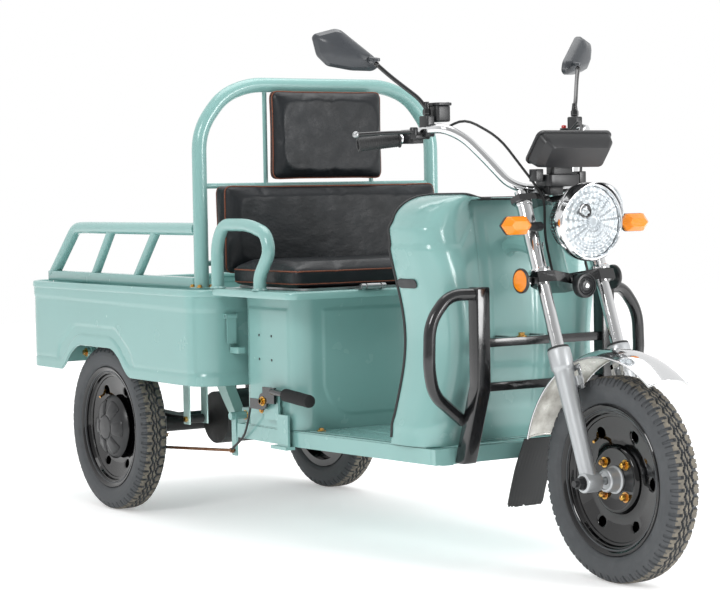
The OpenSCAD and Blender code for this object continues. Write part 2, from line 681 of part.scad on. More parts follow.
module hoop() color("mediumaquamarine") {
  w = rail_line_y;
  tube(soft([[hoop_x, -w, bed_top + 15.3], [hoop_x, -w, 1030], [hoop_x, -290, 1118], [hoop_x, -210, hoop_top - 16],
    [hoop_x, 210, hoop_top - 16], [hoop_x, 290, 1118], [hoop_x, w, 1030], [hoop_x, w, bed_top + 15.3]], 70, 5), hoop_r);
  cross_bar(hoop_x, 888, -w, w, 7);
  cross_bar(hoop_x, 690, -w, w, 7);
  both() rod([hoop_x, 164, 690], [hoop_x, 164, 1140], 6);
}

module back_cushion() color("black")
  round_box_x([hoop_x + 8, -330, 660], [-160, 330, 893], 18);
module head_cushion() color("black")
  round_box_x([hoop_x + 21, -174, 897], [-180, 174, 1137], 16);
module round_box_x(low, high, r) translate([low.x, 0, 0]) rotate([90, 0, 90])
  linear_extrude(high.x - low.x) round_plate([low.y, low.z], [high.y, high.z], r);

gate_x = -bed_rear;
gate_hinge = [gate_x - 3.4, 0, bed_floor + 3.5];
latch_x = -165;
latch_z = 556;
module tailgate() color("mediumaquamarine") {
  block([gate_x, -326, bed_floor + 9], [gate_x + 4, 326, bed_top + 6]);
  block([gate_x - 6, -326, bed_top + 2], [gate_x + 10, 326, bed_top + 14]);
  for (y = [-240, 0, 240]) {
    sleeve([gate_hinge.x, y - 30, gate_hinge.z], [gate_hinge.x, y + 30, gate_hinge.z], 3, 1);
    block([gate_x - 4, y - 28, gate_hinge.z + 2.4], [gate_x, y + 28, gate_hinge.z + 18]);
  }
}

module tailgate_latch() color("silver") {
  translate([gate_x - 0.5, 0, bed_top - 30]) rotate([0, -90, 0]) cylinder(h = 12, r = 8);
  block([gate_x - 14, -8, bed_top - 78], [gate_x - 8, 8, bed_top - 28]);
}

module bed_latch() color("mediumaquamarine") {
  sleeve([latch_x, -331, latch_z], [latch_x, -305, latch_z], 6, 3 + fit);
  block([latch_x - 2, -331, 486], [latch_x + 2, -305, latch_z - 5.5]);
}

frame_rails();
rear_frame();
head_tube();
floor_plate();
leg_shield();
shield_trim();
crash_guard();
seat_box();
seat_deck();
armrests();
seat_hinge();
battery_pack();
motor_controller();
handbrake_cable();
brake_cross_shaft();
brake_rods();
handbrake_lever();
handbrake_grip();
seat_board();
seat_cushion();
steering_stem();
fork_stanchions();
headlight_shell();
headlight_lens();
amber_lamps();
lamp_brackets();
horn();
instrument_case();
handlebar();
grip_left();
control_housings();
mirror_stems();
control_cables();
throttle_grip();
brake_lever(1);  // brake_lever_left
brake_lever(-1);  // brake_lever_right
mirror_head(1);  // mirror_left
mirror_head(-1);  // mirror_right
key_switch();
horn_button();
fork_sliders();
front_axle();
front_mudguard();
mud_flap();
front_tyre();
front_rim();
rear_axle();
drive_motor();
leaf_springs();
wheel_tyre(rear_x, rear_y);  // rear_tyre_left
rear_wheel_rim(1);  // rear_rim_left
wheel_tyre(rear_x, -rear_y);  // rear_tyre_right
rear_wheel_rim(-1);  // rear_rim_right
bed_tub();
bed_beams();
side_rails();
hoop();
back_cushion();
head_cushion();
tailgate();
tailgate_latch();
bed_latch();
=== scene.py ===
"""Electric cargo tricycle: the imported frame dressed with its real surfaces, finishes and soft parts."""

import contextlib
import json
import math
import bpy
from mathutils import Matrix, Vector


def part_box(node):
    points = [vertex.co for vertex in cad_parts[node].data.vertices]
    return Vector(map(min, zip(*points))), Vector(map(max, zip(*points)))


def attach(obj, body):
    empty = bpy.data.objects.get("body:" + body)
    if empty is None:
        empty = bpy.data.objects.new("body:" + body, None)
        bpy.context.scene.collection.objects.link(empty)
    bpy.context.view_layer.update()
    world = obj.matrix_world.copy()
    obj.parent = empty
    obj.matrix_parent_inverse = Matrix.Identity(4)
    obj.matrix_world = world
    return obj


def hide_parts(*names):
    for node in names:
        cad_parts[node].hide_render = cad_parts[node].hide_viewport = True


bl_info = {
    "name": "Cargo Tricycle",
    "version": (1, 0, 0),
    "blender": (4, 5, 0),
    "location": "View3D > Sidebar > Tricycle",
    "description": "Builds the visible pieces of an electric cargo tricycle round its frame",
    "category": "Add Mesh",
}

import bmesh
import bpy
import numpy as np
from mathutils import Matrix, Vector
from mathutils.bvhtree import BVHTree

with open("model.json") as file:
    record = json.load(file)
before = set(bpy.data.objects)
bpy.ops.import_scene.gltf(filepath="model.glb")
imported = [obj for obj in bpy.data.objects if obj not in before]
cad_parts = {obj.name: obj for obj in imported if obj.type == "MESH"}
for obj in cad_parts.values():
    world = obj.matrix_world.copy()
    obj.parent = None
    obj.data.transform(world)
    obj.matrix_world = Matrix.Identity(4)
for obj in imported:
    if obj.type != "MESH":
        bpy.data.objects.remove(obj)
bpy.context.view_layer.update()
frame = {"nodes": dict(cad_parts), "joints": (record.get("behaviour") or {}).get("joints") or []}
MM = 0.001


def joint(name):
    """The named joint of the frame."""
    return next(j for j in frame["joints"] if j["name"] == name)


def span(node):
    """Lowest and highest corner of a CAD node, in millimetres."""
    low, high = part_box(node)
    return np.array(low) / MM, np.array(high) / MM


FRONT = (span("front_tyre")[0] + span("front_tyre")[1]) / 2
REAR = (span("rear_tyre_left")[0] + span("rear_tyre_left")[1]) / 2
TYRE_R = FRONT[2]
RAKE = math.acos(joint("steer")["axis"][2])
BED_LOW, BED_HIGH = span("bed_tub")
DECK_LOW, DECK_HIGH = span("seat_deck")
FLOOR_TOP = span("floor_plate")[1][2]


# --- shapes --------------------------------------------------------------------------


class Shell:
    """Points and faces of one surface, in millimetres; shells add up to a piece."""

    def __init__(self, points, faces):
        self.points = np.asarray(points, float).reshape(-1, 3)
        self.faces = faces

    def __add__(self, other):
        shift = len(self.points)
        moved = [tuple(i + shift for i in face) for face in other.faces]
        return Shell(np.vstack([self.points, other.points]), self.faces + moved)

    def flipped(self):
        """The same surface on the other side of the vehicle."""
        return Shell(self.points * (1, -1, 1), [face[::-1] for face in self.faces])

    def both(self):
        """The surface and its twin on the other side."""
        return self + self.flipped()

    def placed(self, origin, ex, ey):
        """Local x, y, z carried to origin + x ex + y ey + z (ex cross ey)."""
        ex, ey = unit(ex), unit(ey)
        axes = np.array([ex, ey, np.cross(ex, ey)])
        return Shell(np.asarray(origin, float) + self.points @ axes, self.faces)


def unit(v):
    """v at length one, row by row."""
    v = np.asarray(v, float)
    return v / np.maximum(np.linalg.norm(v, axis=-1, keepdims=True), 1e-12)


def joined(shells):
    """All the shells as one."""
    total = shells[0]
    for shell in shells[1:]:
        total = total + shell
    return total


def grid(p, loop_u=False, loop_v=False, caps=False):
    """Quads between neighbours of p[u, v]; a looped direction joins its last row to its first."""
    m, n = p.shape[:2]
    i = np.arange(m if loop_u else m - 1)[:, None]
    j = np.arange(n if loop_v else n - 1)[None, :]
    i2, j2 = (i + 1) % m, (j + 1) % n
    quads = np.stack([i * n + j, i * n + j2, i2 * n + j2, i2 * n + j], -1).reshape(-1, 4)
    faces = [tuple(q) for q in quads.tolist()]
    if caps:
        faces += [tuple(range(n))[::-1], tuple(range((m - 1) * n, m * n))]
    return Shell(p, faces)


def soft(points, radius, n=8, loop=False):
    """Corners rounded by parabolas (1-t)^2 a + 2 t (1-t) corner + t^2 b, a and b on the two legs."""
    p = np.asarray(points, float)
    before, after = np.roll(p, 1, 0), np.roll(p, -1, 0)
    reach_a = np.minimum(radius, 0.48 * np.linalg.norm(before - p, axis=1))[:, None]
    reach_b = np.minimum(radius, 0.48 * np.linalg.norm(after - p, axis=1))[:, None]
    reach = np.minimum(reach_a, reach_b)
    a, b = p + unit(before - p) * reach, p + unit(after - p) * reach
    t = np.linspace(0, 1, n + 1)[None, :, None]
    arcs = (1 - t) ** 2 * a[:, None] + 2 * t * (1 - t) * p[:, None] + t**2 * b[:, None]
    if loop:
        return arcs.reshape(-1, p.shape[1])
    inner = arcs[1:-1].reshape(-1, p.shape[1])
    return np.vstack([p[:1], inner, p[-1:]])


def smooth_path(points, n=60):
    """Catmull-Rom curve through the points: each span blends the chords on both its sides."""
    p = np.asarray(points, float)
    p = np.vstack([2 * p[0] - p[1], p, 2 * p[-1] - p[-2]])
    s = np.linspace(0, len(p) - 3 - 1e-9, n)
    k = s.astype(int)
    t = (s - k)[:, None]
    a, b, c, d = p[k], p[k + 1], p[k + 2], p[k + 3]
    return 0.5 * (2 * b + (c - a) * t + (2 * a - 5 * b + 4 * c - d) * t**2 + (3 * b - a - 3 * c + d) * t**3)


def carried_sides(path, side=None):
    """Tangents of a path and a side direction carried along it without twist."""
    t = unit(np.gradient(path, axis=0))
    s = np.array(side if side is not None else np.eye(3)[np.argmin(np.abs(t[0]))], float)
    sides = np.empty_like(t)
    for k, tangent in enumerate(t):
        s = unit(s - (s @ tangent) * tangent)
        sides[k] = s
    return t, sides


def tube(path, radius, sides=24, caps=True):
    """A circle carried square to the path: point + radius (cos a side + sin a up)."""
    path = np.asarray(path, float)
    t, s = carried_sides(path)
    up = np.cross(t, s)
    a = np.linspace(0, 2 * np.pi, sides, endpoint=False)
    r = np.broadcast_to(radius, len(path))[:, None, None]
    ring = np.cos(a)[None, :, None] * s[:, None] + np.sin(a)[None, :, None] * up[:, None]
    return grid(path[:, None] + r * ring, loop_v=True, caps=caps)


def ribbon(path, profile, side, loop=False):
    """A flat outline of (side, up) pairs carried along the path, side starting as given."""
    path = np.asarray(path, float)
    t, s = carried_sides(path, side)
    up = np.cross(t, s)
    q = np.asarray(profile, float)
    p = path[:, None] + q[None, :, :1] * s[:, None] + q[None, :, 1:] * up[:, None]
    return grid(p, loop_u=loop, loop_v=True, caps=not loop)


def rod(a, b, radius, sides=24):
    """A straight round bar from a to b."""
    return tube(np.linspace(np.asarray(a, float), np.asarray(b, float), 2), radius, sides)


def lathe(profile, centre, axis, sides=96, turn=2 * np.pi, start=0.0):
    """A closed outline of (radius, along) pairs turned about the axis through the centre."""
    axis = unit(axis)
    e1 = unit(np.cross(axis, (0, 0, 1) if abs(axis[2]) < 0.9 else (0, 1, 0)))
    e2 = np.cross(axis, e1)
    full = turn > 6.28
    a = start + np.linspace(0, turn, sides, endpoint=not full)
    q = np.asarray(profile, float)
    spoke = np.cos(a)[:, None] * e1 + np.sin(a)[:, None] * e2
    p = np.asarray(centre, float) + q[None, :, :1] * spoke[:, None] + q[None, :, 1:] * axis
    return grid(p, loop_u=full, loop_v=True, caps=not full)


def rounded(width, height, radius, n=6):
    """Outline of a centred rectangle whose corners are quarter circles."""
    a = np.linspace(0, np.pi / 2, n + 1)
    corner = np.stack([np.cos(a), np.sin(a)], 1) * radius
    quarter = [(width / 2 - radius, height / 2 - radius, 0), (radius - width / 2, height / 2 - radius, 1),
               (radius - width / 2, radius - height / 2, 2), (width / 2 - radius, radius - height / 2, 3)]
    out = []
    for x, y, k in quarter:
        c, s = round(math.cos(k * math.pi / 2)), round(math.sin(k * math.pi / 2))
        out.append(corner @ np.array([[c, s], [-s, c]]) + (x, y))
    return np.vstack(out)


def disc(radius, n=40):
    """Outline of a circle."""
    a = np.linspace(0, 2 * np.pi, n, endpoint=False)
    return np.stack([np.cos(a), np.sin(a)], 1) * radius


def slab(outline, depth, edge=1.0, steps=4):
    """An outline raised from z = 0 to depth; both rims are rounded inwards by a quarter circle."""
    q = np.asarray(outline, float)
    along = unit(np.roll(q, -1, 0) - np.roll(q, 1, 0))
    out = np.stack([along[:, 1], -along[:, 0]], 1)
    a = np.linspace(0, np.pi / 2, steps + 1)
    inset = edge * np.concatenate([1 - np.sin(a), 1 - np.cos(a)])
    z = np.concatenate([edge * (1 - np.cos(a)), depth - edge * (1 - np.sin(a))])
    p = np.empty((len(z), len(q), 3))
    p[..., :2] = q[None] - out[None] * inset[:, None, None]
    p[..., 2] = z[:, None]
    return grid(p, loop_v=True, caps=True)


def box(low, high, edge=1.5, corner=3.0):
    """A block with rounded upright edges and rims."""
    low, high = np.asarray(low, float), np.asarray(high, float)
    size, mid = high - low, (high + low) / 2
    corner = min(corner, size[0] * 0.49, size[1] * 0.49)
    edge = min(edge, corner * 0.9, size[2] * 0.49)
    shell = slab(rounded(size[0], size[1], corner, 4), size[2], edge, 3)
    shell.points += (mid[0], mid[1], low[2])
    return shell


def thick(p, depth, loop_u=False):
    """A closed sheet: the surface p[u, v] and the same surface moved by depth against its normals."""
    du, dv = np.gradient(p, axis=0), np.gradient(p, axis=1)
    if loop_u:
        du = (np.roll(p, -1, 0) - np.roll(p, 1, 0)) / 2
    inner = p - unit(np.cross(dv, du)) * depth
    both = np.concatenate([p, inner[:, ::-1]], 1)
    return grid(both, loop_u=loop_u, loop_v=True, caps=not loop_u)


def step(x, width=1.0):
    """Rises smoothly from 0 to 1 as x goes from -width/2 to width/2."""
    t = np.clip(np.asarray(x, float) / width + 0.5, 0, 1)
    return t * t * (3 - 2 * t)


def fork_point(x, y, z):
    """A point of the fork's own frame (origin on the front axle, z up the tubes)."""
    c, s = math.cos(RAKE), math.sin(RAKE)
    return np.array([FRONT[0] + x * c - z * s, y, FRONT[2] + x * s + z * c])


FORK_UP = np.array([-math.sin(RAKE), 0, math.cos(RAKE)])
FORK_FRONT = np.array([math.cos(RAKE), 0, math.sin(RAKE)])


@contextlib.contextmanager
def edited(mesh):
    """The mesh as a bmesh, written back at the end."""
    form = bmesh.new()
    form.from_mesh(mesh)
    yield form
    form.to_mesh(mesh)
    form.free()


def piece(name, shell, kind, body, nodes=(), sharp=38):
    """Makes a mesh object of the shell, gives it its finish and ties it to the frame."""
    mesh = bpy.data.meshes.new(name)
    mesh.from_pydata((shell.points * MM).tolist(), [], shell.faces)
    mesh.validate()
    with edited(mesh) as form:
        bmesh.ops.recalc_face_normals(form, faces=form.faces)
    mesh.shade_smooth()
    mesh.set_sharp_from_angle(angle=math.radians(sharp))
    mesh.materials.append(finish(kind))
    obj = bpy.data.objects.new(name, mesh)
    bpy.context.scene.collection.objects.link(obj)
    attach(obj, body)
    if nodes:
        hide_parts(*nodes)
    return obj


# --- finishes ------------------------------------------------------------------------


def linear(code, alpha=1.0):
    """An sRGB hex value as linear red, green, blue and alpha."""
    parts = [int(code[i:i + 2], 16) / 255 for i in (1, 3, 5)]
    return tuple(c / 12.92 if c <= 0.04045 else ((c + 0.055) / 1.055) ** 2.4 for c in parts) + (alpha,)


def node(tree, kind, links=None, **settings):
    """Adds a node, sets its attributes or sockets by name, and links its inputs."""
    made = tree.nodes.new("ShaderNode" + kind)
    for key, value in settings.items():
        if hasattr(made, key):
            setattr(made, key, value)
        else:
            made.inputs[key.replace("_", " ")].default_value = value
    for key, source in (links or {}).items():
        made_input = made.inputs[key if isinstance(key, int) else key.replace("_", " ")]
        tree.links.new(source, made_input)
    return made


def place(tree):
    """Object coordinates, in metres."""
    return tree.nodes.new("ShaderNodeTexCoord").outputs["Object"]


def noise(tree, per_metre, detail=3.0, rough=0.5, at=None):
    """Fractal noise with that many features to the metre."""
    made = node(tree, "TexNoise", {"Vector": at or place(tree)}, Scale=per_metre, Detail=detail, Roughness=rough)
    return made.outputs["Fac"]


def ramp(tree, source, low, high, a, b):
    """a below low, b above high, mixed between."""
    made = node(tree, "ValToRGB", {"Fac": source})
    made.color_ramp.elements[0].position, made.color_ramp.elements[1].position = low, high
    made.color_ramp.elements[0].color, made.color_ramp.elements[1].color = a, b
    return made.outputs["Color"]


def grey(value):
    """A grey as a colour."""
    return (value, value, value, 1)


def bump(tree, height, depth, strength, below=None):
    """The normal of a height pattern that many metres deep, over the relief below it."""
    links = {"Height": height, "Normal": below} if below else {"Height": height}
    return node(tree, "Bump", links, Strength=strength, Distance=depth).outputs["Normal"]


def lighter(code, factor):
    """A hex colour with its channels multiplied."""
    parts = [min(255, round(int(code[i:i + 2], 16) * factor)) for i in (1, 3, 5)]
    return "#" + "".join(f"{part:02x}" for part in parts)


def foam_cells(tree):
    """Open pits about 1 mm across."""
    cells = node(tree, "TexVoronoi", {"Vector": place(tree)}, Scale=900.0).outputs["Distance"]
    return bump(tree, cells, 0.0006, 0.5)


def lens_flutes(tree):
    """Upright flutes moulded in a lamp glass."""
    flutes = node(tree, "TexWave", {"Vector": place(tree)}, Scale=90.0, Distortion=0.0, bands_direction="Z")
    return bump(tree, flutes.outputs["Fac"], 0.0008, 0.35)


def leather_grain(tree):
    """Pebbles under 2 mm across, with broad creases over them that run along the cushion."""
    at = place(tree)
    pebbles = node(tree, "TexVoronoi", {"Vector": at}, Scale=620.0, feature="SMOOTH_F1").outputs["Distance"]
    stretched = node(tree, "Mapping", {"Vector": at}, Scale=(1.0, 0.55, 1.0)).outputs["Vector"]
    return bump(tree, noise(tree, 26.0, 3.0, 0.6, stretched), 0.004, 0.5, bump(tree, pebbles, 0.0004, 0.35))


# Each finish: the material's name, its slot, the shader's sockets, its tone (noise, low, high, two colours), its
# roughness (noise, or None for the tone's; smoothest, roughest) and its grain (noise, depth in metres, strength),
# or a function that makes the grain. A noise is features to the metre, detail and roughness.
FINISHES = {
    # Gloss powder coat on pressed steel: even colour, faint orange peel. Its colour is the sidebar's.
    "paint": ("polyester_powder_coat_gloss", "mint_paint", dict(Coat_Weight=0.35, Coat_Roughness=0.06, IOR=1.5),
              ((3.0, 4.0), 0.25, 0.75, None, None), ((14.0,), 0.2, 0.28), ((420.0, 1.0), 0.00005, 0.22)),
    # Gloss black powder coat on tube: deep, with long clean highlights.
    "black": ("powder_coat_black_gloss", "black_paint",
              dict(Base_Color="#0d0e10", Coat_Weight=0.5, Coat_Roughness=0.05, IOR=1.5),
              None, ((30.0,), 0.16, 0.26), ((400.0, 1.0), 0.00004, 0.2)),
    # Baked enamel on a pressed rim: mirror-like, slightly wavy.
    "enamel": ("baked_enamel_black_gloss", "rim_paint",
               dict(Base_Color="#040405", Specular_IOR_Level=0.35, Coat_Weight=0.35, Coat_Roughness=0.02),
               None, ((20.0,), 0.05, 0.12), ((45.0, 2.0), 0.0006, 0.12)),
    # Brushed-on chassis enamel: uneven satin black with road dust.
    "chassis": ("chassis_enamel_dusty", "black_paint", {}, ((18.0, 6.0, 0.6), 0.4, 0.8, "#121314", "#2d2c2a"),
                (None, 0.35, 0.65), ((160.0, 3.0), 0.0003, 0.4)),
    # Decorative chrome: bright, faintly rippled, hazed in places.
    "chrome": ("chrome_plate_on_steel", "chrome", dict(Base_Color="#d9dadb", Metallic=1.0),
               None, ((26.0, 5.0, 0.6), 0.05, 0.16), ((38.0, 2.0), 0.0008, 0.1)),
    # Chrome over an unpolished inner face: milky and stained.
    "dull_chrome": ("chrome_plate_unpolished", "chrome", dict(Metallic=1.0),
                    ((22.0, 6.0, 0.65), 0.35, 0.75, "#c9c8c2", "#95918a"), (None, 0.22, 0.5), None),
    # Silver lacquer over cast aluminium: satin and pebbled.
    "alloy": ("aluminium_casting_silver_lacquer", "alloy",
              dict(Base_Color="#b4b7b9", Metallic=0.55, Coat_Weight=0.2, Coat_Roughness=0.25),
              None, ((24.0,), 0.34, 0.46), ((520.0, 3.0), 0.00012, 0.35)),
    # Zinc on machined steel: pale, softly brushed.
    "zinc": ("steel_bright_zinc", "steel", dict(Base_Color="#a9abac", Metallic=1.0),
             None, ((60.0, 4.0), 0.28, 0.45), None),
    # Zinc with yellow chromate: gold with a rose tinge.
    "gold": ("steel_yellow_chromate", "zinc", dict(Metallic=1.0),
             ((90.0, 2.0), 0.35, 0.65, "#c9a046", "#b98a5a"), ((140.0, 3.0), 0.2, 0.36), None),
    # Drawn mild-steel rod with a copper-brown bloom of rust.
    "rust": ("mild_steel_rusted", "zinc", dict(Metallic=0.7),
             ((60.0, 6.0, 0.65), 0.3, 0.7, "#8f6a4a", "#6a3f28"), (None, 0.35, 0.6), None),
    # Tyre rubber: matt charcoal with dry dust.
    "tyre": ("tyre_rubber_carbon_black", "tyre", dict(IOR=1.5),
             ((40.0, 6.0, 0.6), 0.3, 0.8, "#3c3f42", "#505254"), (None, 0.6, 0.8), ((700.0, 3.0), 0.0002, 0.35)),
    # The same rubber where it meets the road: scuffed, brownish grey.
    "tread": ("tyre_rubber_scuffed", "tyre", dict(IOR=1.5),
              ((60.0, 6.0, 0.6), 0.3, 0.75, "#54504a", "#7d776a"), (None, 0.7, 0.9), ((700.0, 3.0), 0.0003, 0.5)),
    # Moulded ABS with a spark-eroded grain.
    "plastic": ("abs_moulded_black", "black_plastic", dict(Base_Color="#1c1d1f", IOR=1.53),
                None, ((35.0,), 0.3, 0.42), ((1400.0, 2.0), 0.0001, 0.3)),
    # Dark grey polypropylene with a satin skin.
    "graphite": ("polypropylene_graphite", "black_plastic", dict(Base_Color="#3a3d41", IOR=1.49),
                 None, ((30.0,), 0.26, 0.36), ((1200.0, 2.0), 0.0001, 0.25)),
    # EPDM edging and flap rubber: matt, slightly bloomed.
    "rubber": ("epdm_rubber_black", "rubber", dict(IOR=1.5),
               ((30.0, 5.0), 0.35, 0.75, "#1b1c1d", "#2a2b2c"), (None, 0.5, 0.66), None),
    # Foam sleeve: pitted and matt.
    "foam": ("nitrile_foam_sleeve", "foam", dict(Base_Color="#141516", Roughness=0.85), None, None, foam_cells),
    # PVC cable jacket: smooth satin black.
    "cable": ("pvc_cable_jacket", "rubber", dict(Base_Color="#121314"), None, ((80.0,), 0.35, 0.5), None),
    # PVC leatherette over foam.
    "leather": ("pvc_leatherette_black", "leatherette", dict(IOR=1.5, Specular_IOR_Level=0.34),
                ((9.0, 4.0), 0.3, 0.7, "#0f1215", "#171b1f"), ((30.0, 4.0), 0.34, 0.5), leather_grain),
    # Twisted polyester cord, rust brown.
    "thread": ("polyester_cord_rust", "leatherette", dict(Roughness=0.7),
               ((600.0, 2.0), 0.35, 0.65, "#4e2a1c", "#85482e"), None, (None, 0.0004, 0.5)),
    # Moulded amber acrylic with a faint painted glow: its emission stands in for light caught inside the acrylic, on
    # the unlit turn lenses and the side reflectors alike.
    "amber": ("acrylic_amber_painted_glow", "amber",
              dict(Base_Color="#f08a04", Transmission_Weight=0.2, IOR=1.49, Emission_Color="#ff8c00",
                   Emission_Strength=0.1, Coat_Weight=0.5, Coat_Roughness=0.05),
              None, ((120.0,), 0.12, 0.25), lens_flutes),
    # Clear polycarbonate, silvery where it sits over the reflector.
    "optic": ("polycarbonate_over_reflector", "lens",
              dict(Metallic=0.45, IOR=1.58, Coat_Weight=1.0, Coat_Roughness=0.02),
              ((40.0,), 0.3, 0.7, "#cdd3d6", "#a3abb0"), (None, 0.05, 0.14), None),
    # Smoked acrylic over the instrument panel.
    "smoked": ("acrylic_smoked", "black_plastic", dict(Base_Color="#08090a", Coat_Weight=1.0, Coat_Roughness=0.02),
               None, ((25.0,), 0.05, 0.12), None),
    # Mirror glass, with the faint waviness of rolled glass.
    "mirror": ("silvered_glass", "chrome", dict(Base_Color="#e6ebec", Metallic=1.0),
               None, ((12.0,), 0.01, 0.04), None),
    # Glossy red moulded button.
    "signal": ("abs_moulded_red", "red_plastic", dict(Base_Color="#b3211c", Coat_Weight=0.4),
               None, ((90.0,), 0.2, 0.34), None),
}


def blank(name, sockets):
    """An empty material with one Principled shader, whose sockets are set by name; hex values are colours."""
    material = bpy.data.materials.new(name)
    material.use_nodes = True
    tree = material.node_tree
    shader = tree.nodes["Principled BSDF"]
    for key, value in sockets.items():
        shader.inputs[key.replace("_", " ")].default_value = linear(value) if isinstance(value, str) else value
    return material, tree, shader


def finish(kind):
    """The material of a finish, made from its recipe the first time."""
    name, _, sockets, tone, rough, grain = FINISHES[kind]
    made = bpy.data.materials.get(name)
    if made:
        return made
    made, tree, shader = blank(name, sockets)
    pattern = None
    if tone:
        scales, low, high, dark, light = tone
        pattern = noise(tree, *scales)
        dark = dark or options().paint
        colour = ramp(tree, pattern, low, high, linear(dark), linear(light or lighter(dark, 1.035)))
        tree.links.new(colour, shader.inputs["Base Color"])
    if rough:
        scales, low, high = rough
        wander = noise(tree, *scales) if scales else pattern
        tree.links.new(ramp(tree, wander, 0.3, 0.7, grey(low), grey(high)), shader.inputs["Roughness"])
    if callable(grain):
        tree.links.new(grain(tree), shader.inputs["Normal"])
    elif grain:
        scales, depth, strength = grain
        height = noise(tree, *scales) if scales else pattern
        tree.links.new(bump(tree, height, depth, strength), shader.inputs["Normal"])
    return made


# The finish of each frame node that is shown as it is.
NODE_FINISH = {
    "frame_rails": "paint", "head_tube": "paint", "floor_plate": "paint", "seat_hinge": "zinc",
    "battery_pack": "plastic", "motor_controller": "alloy", "seat_board": "zinc", "brake_cross_shaft": "paint",
    "brake_rods": "rust", "rear_axle": "chassis", "drive_motor": "chassis", "leaf_springs": "chassis",
    "handbrake_lever": "black", "lamp_brackets": "plastic", "key_switch": "zinc", "horn_button": "signal",
    "front_axle": "zinc", "steering_stem": "black", "handbrake_cable": "cable", "control_cables": "cable",
}


def options():
    """The sizes and colours that the sidebar shows."""
    return bpy.context.scene.tricycle


class TricycleOptions(bpy.types.PropertyGroup):
    """Sizes and colours a user would change."""

    paint: bpy.props.StringProperty(
        name="Paint", description="sRGB hex value of the body paint", default="#7ca5a1")
    floor: bpy.props.StringProperty(
        name="Floor", description="sRGB hex value of the studio floor", default="#f4f4f4")
    tread_depth: bpy.props.FloatProperty(
        name="Tread depth", description="Depth of the tyre grooves", default=0.0065, min=0.003, max=0.008,
        unit="LENGTH")
    tread_pitches: bpy.props.IntProperty(
        name="Tread pitches", description="Repeats of the tread round a tyre", default=52, min=30, max=80)
    cushion_swell: bpy.props.FloatProperty(
        name="Cushion swell", description="How far a cushion's faces may crown", default=0.014, min=0.004,
        max=0.03, unit="LENGTH")
    tube_sides: bpy.props.IntProperty(
        name="Tube sides", description="Flats round a bent tube", default=28, min=12, max=64)


# --- stage ---------------------------------------------------------------------------


class TRICYCLE_OT_stage(bpy.types.Operator):
    """Makes the camera, the pale floor and the soft studio lights"""

    bl_idname = "tricycle.stage"
    bl_label = "Studio stage"

    def execute(self, context):
        """Camera first, then floor and lights."""
        scene = context.scene
        scene.view_settings.view_transform = "Standard"
        self.camera(scene)
        self.floor(scene)
        self.lights(scene)
        return {"FINISHED"}

    def camera(self, scene):
        """A long lens at the front right corner, just above the seat's height."""
        yaw, pitch, roll = math.radians(146.44), math.radians(-2.87), math.radians(-0.94)
        look = Vector((math.cos(pitch) * math.cos(yaw), math.cos(pitch) * math.sin(yaw), math.sin(pitch)))
        right = look.cross(Vector((0, 0, 1))).normalized()
        up = right.cross(look)
        tilted = math.cos(roll) * right + math.sin(roll) * up
        upright = tilted.cross(look)
        data = bpy.data.cameras.new("camera")
        data.sensor_width = 36.0
        data.lens = 109.55
        data.shift_x = -0.0336
        data.shift_y = -0.0072
        cam = bpy.data.objects.new("camera", data)
        turn = Matrix((tilted, upright, -look)).transposed()
        cam.matrix_world = Matrix.Translation((4.694, -3.073, 0.873)) @ turn.to_4x4()
        scene.collection.objects.link(cam)
        scene.camera = cam

    def floor(self, scene):
        """A flat pale sheet that runs far behind the vehicle."""
        p = np.array([[[-9000, -9000, 0], [-9000, 9000, 0]], [[9000, -9000, 0], [9000, 9000, 0]]], float)
        mesh = bpy.data.meshes.new("floor")
        sheet = grid(p)
        mesh.from_pydata((sheet.points * MM).tolist(), [], [f[::-1] for f in sheet.faces])
        material, _, _ = blank("studio_sheet", dict(Base_Color=options().floor, Roughness=0.9,
                                                    Emission_Color=grey(1.0), Emission_Strength=0.32))
        mesh.materials.append(material)
        obj = bpy.data.objects.new("floor", mesh)
        scene.collection.objects.link(obj)

    def lights(self, scene):
        """A white dome that is dimmer behind the camera, and three soft panels."""
        world = bpy.data.worlds.new("studio")
        scene.world = world
        world.use_nodes = True
        tree = world.node_tree
        facing = node(tree, "VectorMath", {0: tree.nodes.new("ShaderNodeTexCoord").outputs["Generated"]},
                      operation="DOT_PRODUCT")
        facing.inputs[1].default_value = (0.83, -0.55, 0.0)
        shade = ramp(tree, facing.outputs["Value"], 0.0, 0.75, grey(1.0), grey(0.5))
        tree.links.new(shade, tree.nodes["Background"].inputs["Color"])
        for name, at, size, power in (
            ("key_panel", (2.2, -4.6, 3.4), 1.6, 95.0),
            ("front_panel", (4.6, 1.6, 1.3), 1.6, 110.0),
            ("top_panel", (-0.4, 0.2, 4.2), 3.2, 85.0),
        ):
            data = bpy.data.lights.new(name, "AREA")
            data.size, data.energy = size, power
            lamp = bpy.data.objects.new(name, data)
            lamp.location = at
            lamp.rotation_mode = "QUATERNION"
            lamp.rotation_quaternion = (Vector((0, 0, 0.5)) - Vector(at)).to_track_quat("-Z", "Y")
            scene.collection.objects.link(lamp)


# --- making pieces -------------------------------------------------------------------


def dress(name, kind):
    """Gives a frame node that is shown as it is its finish."""
    for holder in frame["nodes"][name].material_slots:
        holder.material = finish(kind)


def two_tone(obj, kind, chosen):
    """Gives the chosen faces a second finish."""
    obj.data.materials.append(finish(kind))
    obj.data.polygons.foreach_set("material_index", np.asarray(chosen, np.int32))
    obj.data.update()


def even(path, n):
    """The same path with n points the same distance apart."""
    path = np.asarray(path, float)
    along = np.concatenate([[0], np.cumsum(np.linalg.norm(np.diff(path, axis=0), axis=1))])
    return np.stack([np.interp(np.linspace(0, along[-1], n), along, c) for c in path.T], 1)


def loft(levels, loop=False):
    """Outlines of equal length stacked at their heights and skinned."""
    p = np.array([np.column_stack([outline, np.full(len(outline), z)]) for outline, z in levels])
    return grid(p, loop_u=loop, loop_v=True, caps=not loop)


